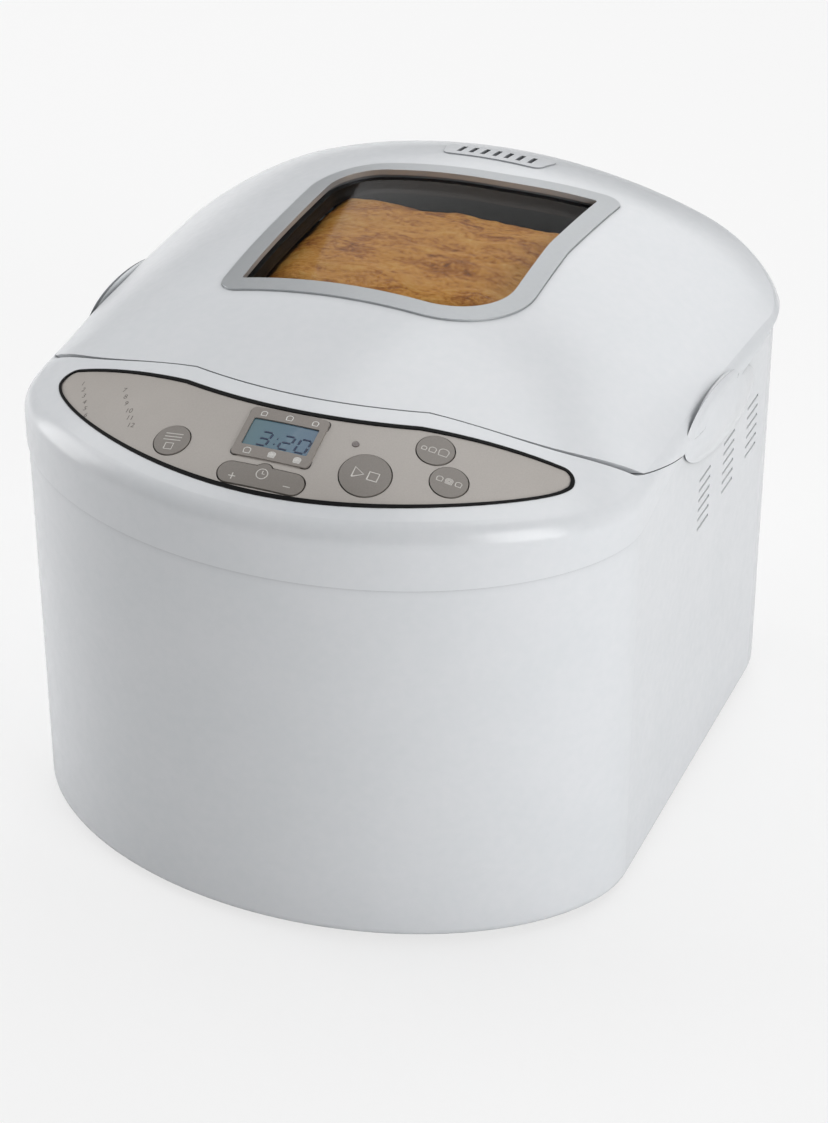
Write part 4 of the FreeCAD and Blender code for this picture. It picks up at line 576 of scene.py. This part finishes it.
# ---- Loaf ----
# A tin loaf, proved over the pan's rim and baked golden. The crust is wrinkled where the dough
# folded, browner on the crown and paler down its torn sides.
def crust():
    """Egg-gold crust, mottled, matt where floury and slightly shiny on the crown."""
    material, tree, shader = new_material("baked bread crust")
    place = add(tree, "TexCoord")
    straight = {"Vector": place.outputs["Object"]}
    turned = add(tree, "Mapping", {"Rotation": (0, 0, 0.5), "Scale": (1, 2.2, 1)}, straight)
    drawn = {"Vector": turned.outputs[0]}
    folds = add(tree, "TexNoise", {"Scale": 45.0, "Detail": 6, "Distortion": 0.8}, drawn)
    flakes = add(tree, "TexNoise", {"Scale": 140.0, "Detail": 6, "Distortion": 1.6}, drawn)
    crumbs = add(tree, "TexNoise", {"Scale": 520.0, "Detail": 4}, straight)
    torn = add(tree, "Mix", {0: 0.45}, {2: folds.outputs["Fac"], 3: flakes.outputs["Fac"]})
    both = {0: crumbs.outputs["Fac"], 2: torn.outputs[0]}
    tone = add(tree, "Math", {"operation": "MULTIPLY_ADD", 1: 0.3}, both)
    ramp = add(tree, "ValToRGB", {}, {"Fac": tone.outputs[0]})
    stops = ramp.color_ramp.elements
    stops[0].position, stops[0].color = 0.42, linear("6A3A10")
    stops[1].position, stops[1].color = 0.88, linear("E8B55E")
    for position, code in ((0.55, "B06C20"), (0.67, "D8963A")):
        stop = stops.new(position)
        stop.color = linear(code)
    tree.links.new(ramp.outputs[0], shader.inputs["Base Color"])
    gloss = add(tree, "MapRange", {"To Min": 0.75, "To Max": 0.45}, {"Value": crumbs.outputs["Fac"]})
    tree.links.new(gloss.outputs[0], shader.inputs["Roughness"])
    pores = add(tree, "Bump", {"Distance": 0.6 * mm, "Strength": 0.7}, {"Height": crumbs.outputs["Fac"]})
    relief = {"Height": torn.outputs[0], "Normal": pores.outputs[0]}
    creases = add(tree, "Bump", {"Distance": 3 * mm, "Strength": 0.6}, relief)
    tree.links.new(creases.outputs[0], shader.inputs["Normal"])
    return material


pan_low, pan_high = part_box("bread_pan")
pan_middle = (pan_low + pan_high) / 2
loaf_rim_z = pan_high.z - 0.008
loaf_rise = 0.065
loaf_foot_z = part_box("kneading_paddle")[1].z + 0.003
rim_half = Vector((0.0725, 0.0560))
foot_half = Vector((0.0680, 0.0520))
corner_round = 0.4
crown_power = 6
loaf = bmesh.new()
bmesh.ops.create_grid(loaf, x_segments=130, y_segments=104, size=1.0)
for vertex in loaf.verts:
    u, v = vertex.co.x, vertex.co.y
    reach = max(abs(u), abs(v))
    round_u = u * math.sqrt(1 - corner_round * v * v / 2)
    round_v = v * math.sqrt(1 - corner_round * u * u / 2)
    rise = math.sqrt(max(0.0, 1 - reach ** crown_power))
    vertex.co = Vector((
        pan_middle.x + round_u * rim_half.x,
        pan_middle.y + round_v * rim_half.y,
        loaf_rim_z + loaf_rise * rise,
    ))

# The wall below the rim, drawn in towards the pan's floor.
wall_cuts = 16
longest_grid_edge = 0.03
edge = [e for e in loaf.edges if e.is_boundary]
wall = bmesh.ops.extrude_edge_only(loaf, edges=edge)["geom"]
for vertex in [g for g in wall if isinstance(g, bmesh.types.BMVert)]:
    vertex.co.x = pan_middle.x + (vertex.co.x - pan_middle.x) * foot_half.x / rim_half.x
    vertex.co.y = pan_middle.y + (vertex.co.y - pan_middle.y) * foot_half.y / rim_half.y
    vertex.co.z = loaf_foot_z
tall = [e for e in loaf.edges if e.calc_length() > longest_grid_edge]
bmesh.ops.subdivide_edges(loaf, edges=tall, cuts=wall_cuts)
bmesh.ops.holes_fill(loaf, edges=[e for e in loaf.edges if e.is_boundary], sides=0)
bmesh.ops.recalc_face_normals(loaf, faces=loaf.faces)
loaf.normal_update()

# Broad swellings and narrow folds over the crown, in mm; they fade out just below the rim, where
# the pan's wall pressed the dough flat.
swell_length, swell_height = 34, 1.6
fold_lengths, fold_height = (30, 13, 30), 0.9
fade_foot_z = loaf_rim_z - 0.004
fade_height = 0.02
foot_margin = 0.001
for vertex in loaf.verts:
    if vertex.co.z < loaf_foot_z + foot_margin:
        continue
    spot = vertex.co / mm
    swell = noise.fractal(spot / swell_length, 0.9, 2.0, 3) * swell_height
    fold_spot = Vector([value / length for value, length in zip(spot, fold_lengths)])
    fold = (noise.ridged_multi_fractal(fold_spot, 0.8, 2.1, 4, 0.9, 2.0) - 1.0) * fold_height
    above = min(1.0, max(0.0, (vertex.co.z - fade_foot_z) / fade_height))
    vertex.co += vertex.normal * (swell + fold) * above * mm
loaf_mesh = baked("loaf", loaf, crust())
for face in loaf_mesh.polygons:
    face.use_smooth = True
loaf_piece = placed("loaf", loaf_mesh)
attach(loaf_piece, "pan")


# ---- Bread pan and paddle ----
# Pressed aluminium with a dark non-stick coating that carries fine pale flecks. The bail is drawn
# stainless wire hooked into the pan's ears.
def coated_aluminium():
    """Dark fluoropolymer with fine flecks."""
    material = finish("speckled non-stick coating", "36373A", "2A2B2D", 0.7, (0.32, 0.44), 0.01)
    tree = material.node_tree
    place = add(tree, "TexCoord")
    cells = add(tree, "TexVoronoi", {"Scale": 420.0}, {"Vector": place.outputs["Object"]})
    near_middle = {"From Min": 0.16, "From Max": 0.10}
    fleck = add(tree, "MapRange", near_middle, {"Value": cells.outputs["Distance"]})
    tint(material, fleck.outputs[0], "8E8F92")
    return material


dress(coated_aluminium(), "bread_pan", "kneading_paddle")
wire_steel = finish("drawn stainless wire", "C4C6C8", "A2A5A8", 0.5, (0.16, 0.28), 0.004, Metallic=1.0)
dress(wire_steel, "pan_handle", "seat_clips")
die_cast = finish("die-cast zinc", "8C8E91", "6F7275", 1.6, (0.38, 0.55), 0.03, Metallic=1.0)
dress(die_cast, "drive_dog", "pan_coupling", "pan_collar")
sintered_bronze = finish(
    "oil-filled sintered bronze", "A5814C", "83632F", 0.5, (0.40, 0.58), 0.02, Metallic=1.0
)
dress(sintered_bronze, "drive_bearing", "pan_bush")
ground_steel = finish(
    "ground steel", "C9CBCD", "A9ACAF", 0.3, (0.14, 0.26), 0.003, (1, 1, 12), Metallic=1.0
)
dress(ground_steel, "drive_shaft", "motor_shaft", "pan_shaft")


# ---- Oven ----
# The heater is a steel-sheathed rod bent round the chamber near its floor, dulled by heat. Its ends
# leave through ceramic bushes, and pressed clips hold it off the wall.
heater_sheath = finish(
    "heat-dulled steel sheath", "4B4745", "322F2E", 1.8, (0.42, 0.62), 0.02, Metallic=0.8
)
dress(heater_sheath, "heating_element", "temperature_sensor")
steatite = finish("unglazed steatite ceramic", "E9E4D8", "DDD6C6", 0.8, (0.6, 0.75), 0.02)
dress(steatite, "element_terminals")
zinc_sheet = finish(
    "zinc-plated sheet steel", "B0B4B6", "8D9294", 6.0, (0.26, 0.42), 0.006, Metallic=1.0
)
dress(zinc_sheet, "drive_chassis", "pan_seat", "board_bracket", "element_clips", "thermal_fuse")


# ---- Drive ----
# A shaded-pole motor in a painted housing turns the paddle's shaft through a small pulley, a rubber
# belt and a large moulded pulley under the oven.
motor_enamel = finish("grey baked enamel", "555A5F", "484C51", 1.4, (0.35, 0.48), 0.01)
dress(motor_enamel, "motor_housing")
belt_rubber = finish("neoprene belt", "1B1B1C", "111112", 0.6, (0.6, 0.78), 0.03, (1, 1, 3))
dress(belt_rubber, "drive_belt")
acetal = finish("black acetal", "222325", "18191A", 1.0, (0.3, 0.42), 0.006)
dress(acetal, "drive_pulley", "motor_pulley")


# ---- Electronics ----
# Glass-epoxy boards under green solder mask; the control board carries the keys' push switches and
# the display, the power board carries the relay, the capacitor and the transformer.
def solder_mask():
    """Green varnish over a copper pattern that shows as slightly lighter tracks."""
    material = finish("green solder mask", "1E5E34", "184E2B", 1.0, (0.24, 0.36), 0.004)
    tree = material.node_tree
    place = add(tree, "TexCoord")
    layout = {"Scale": 160.0, "Mortar Size": 0.04, "offset": 0.35}
    tracks = add(tree, "TexBrick", layout, {"Vector": place.outputs["Object"]})
    share = add(tree, "Math", {"operation": "MULTIPLY", 1: 0.6}, {0: tracks.outputs["Fac"]})
    tint(material, share.outputs[0], "3C8A52")
    return material


dress(solder_mask(), "control_board", "power_board")
epoxy_black = finish("black moulded epoxy", "232324", "1A1A1B", 0.7, (0.45, 0.6), 0.01)
dress(epoxy_black, "key_switches", "power_parts", "display_module")
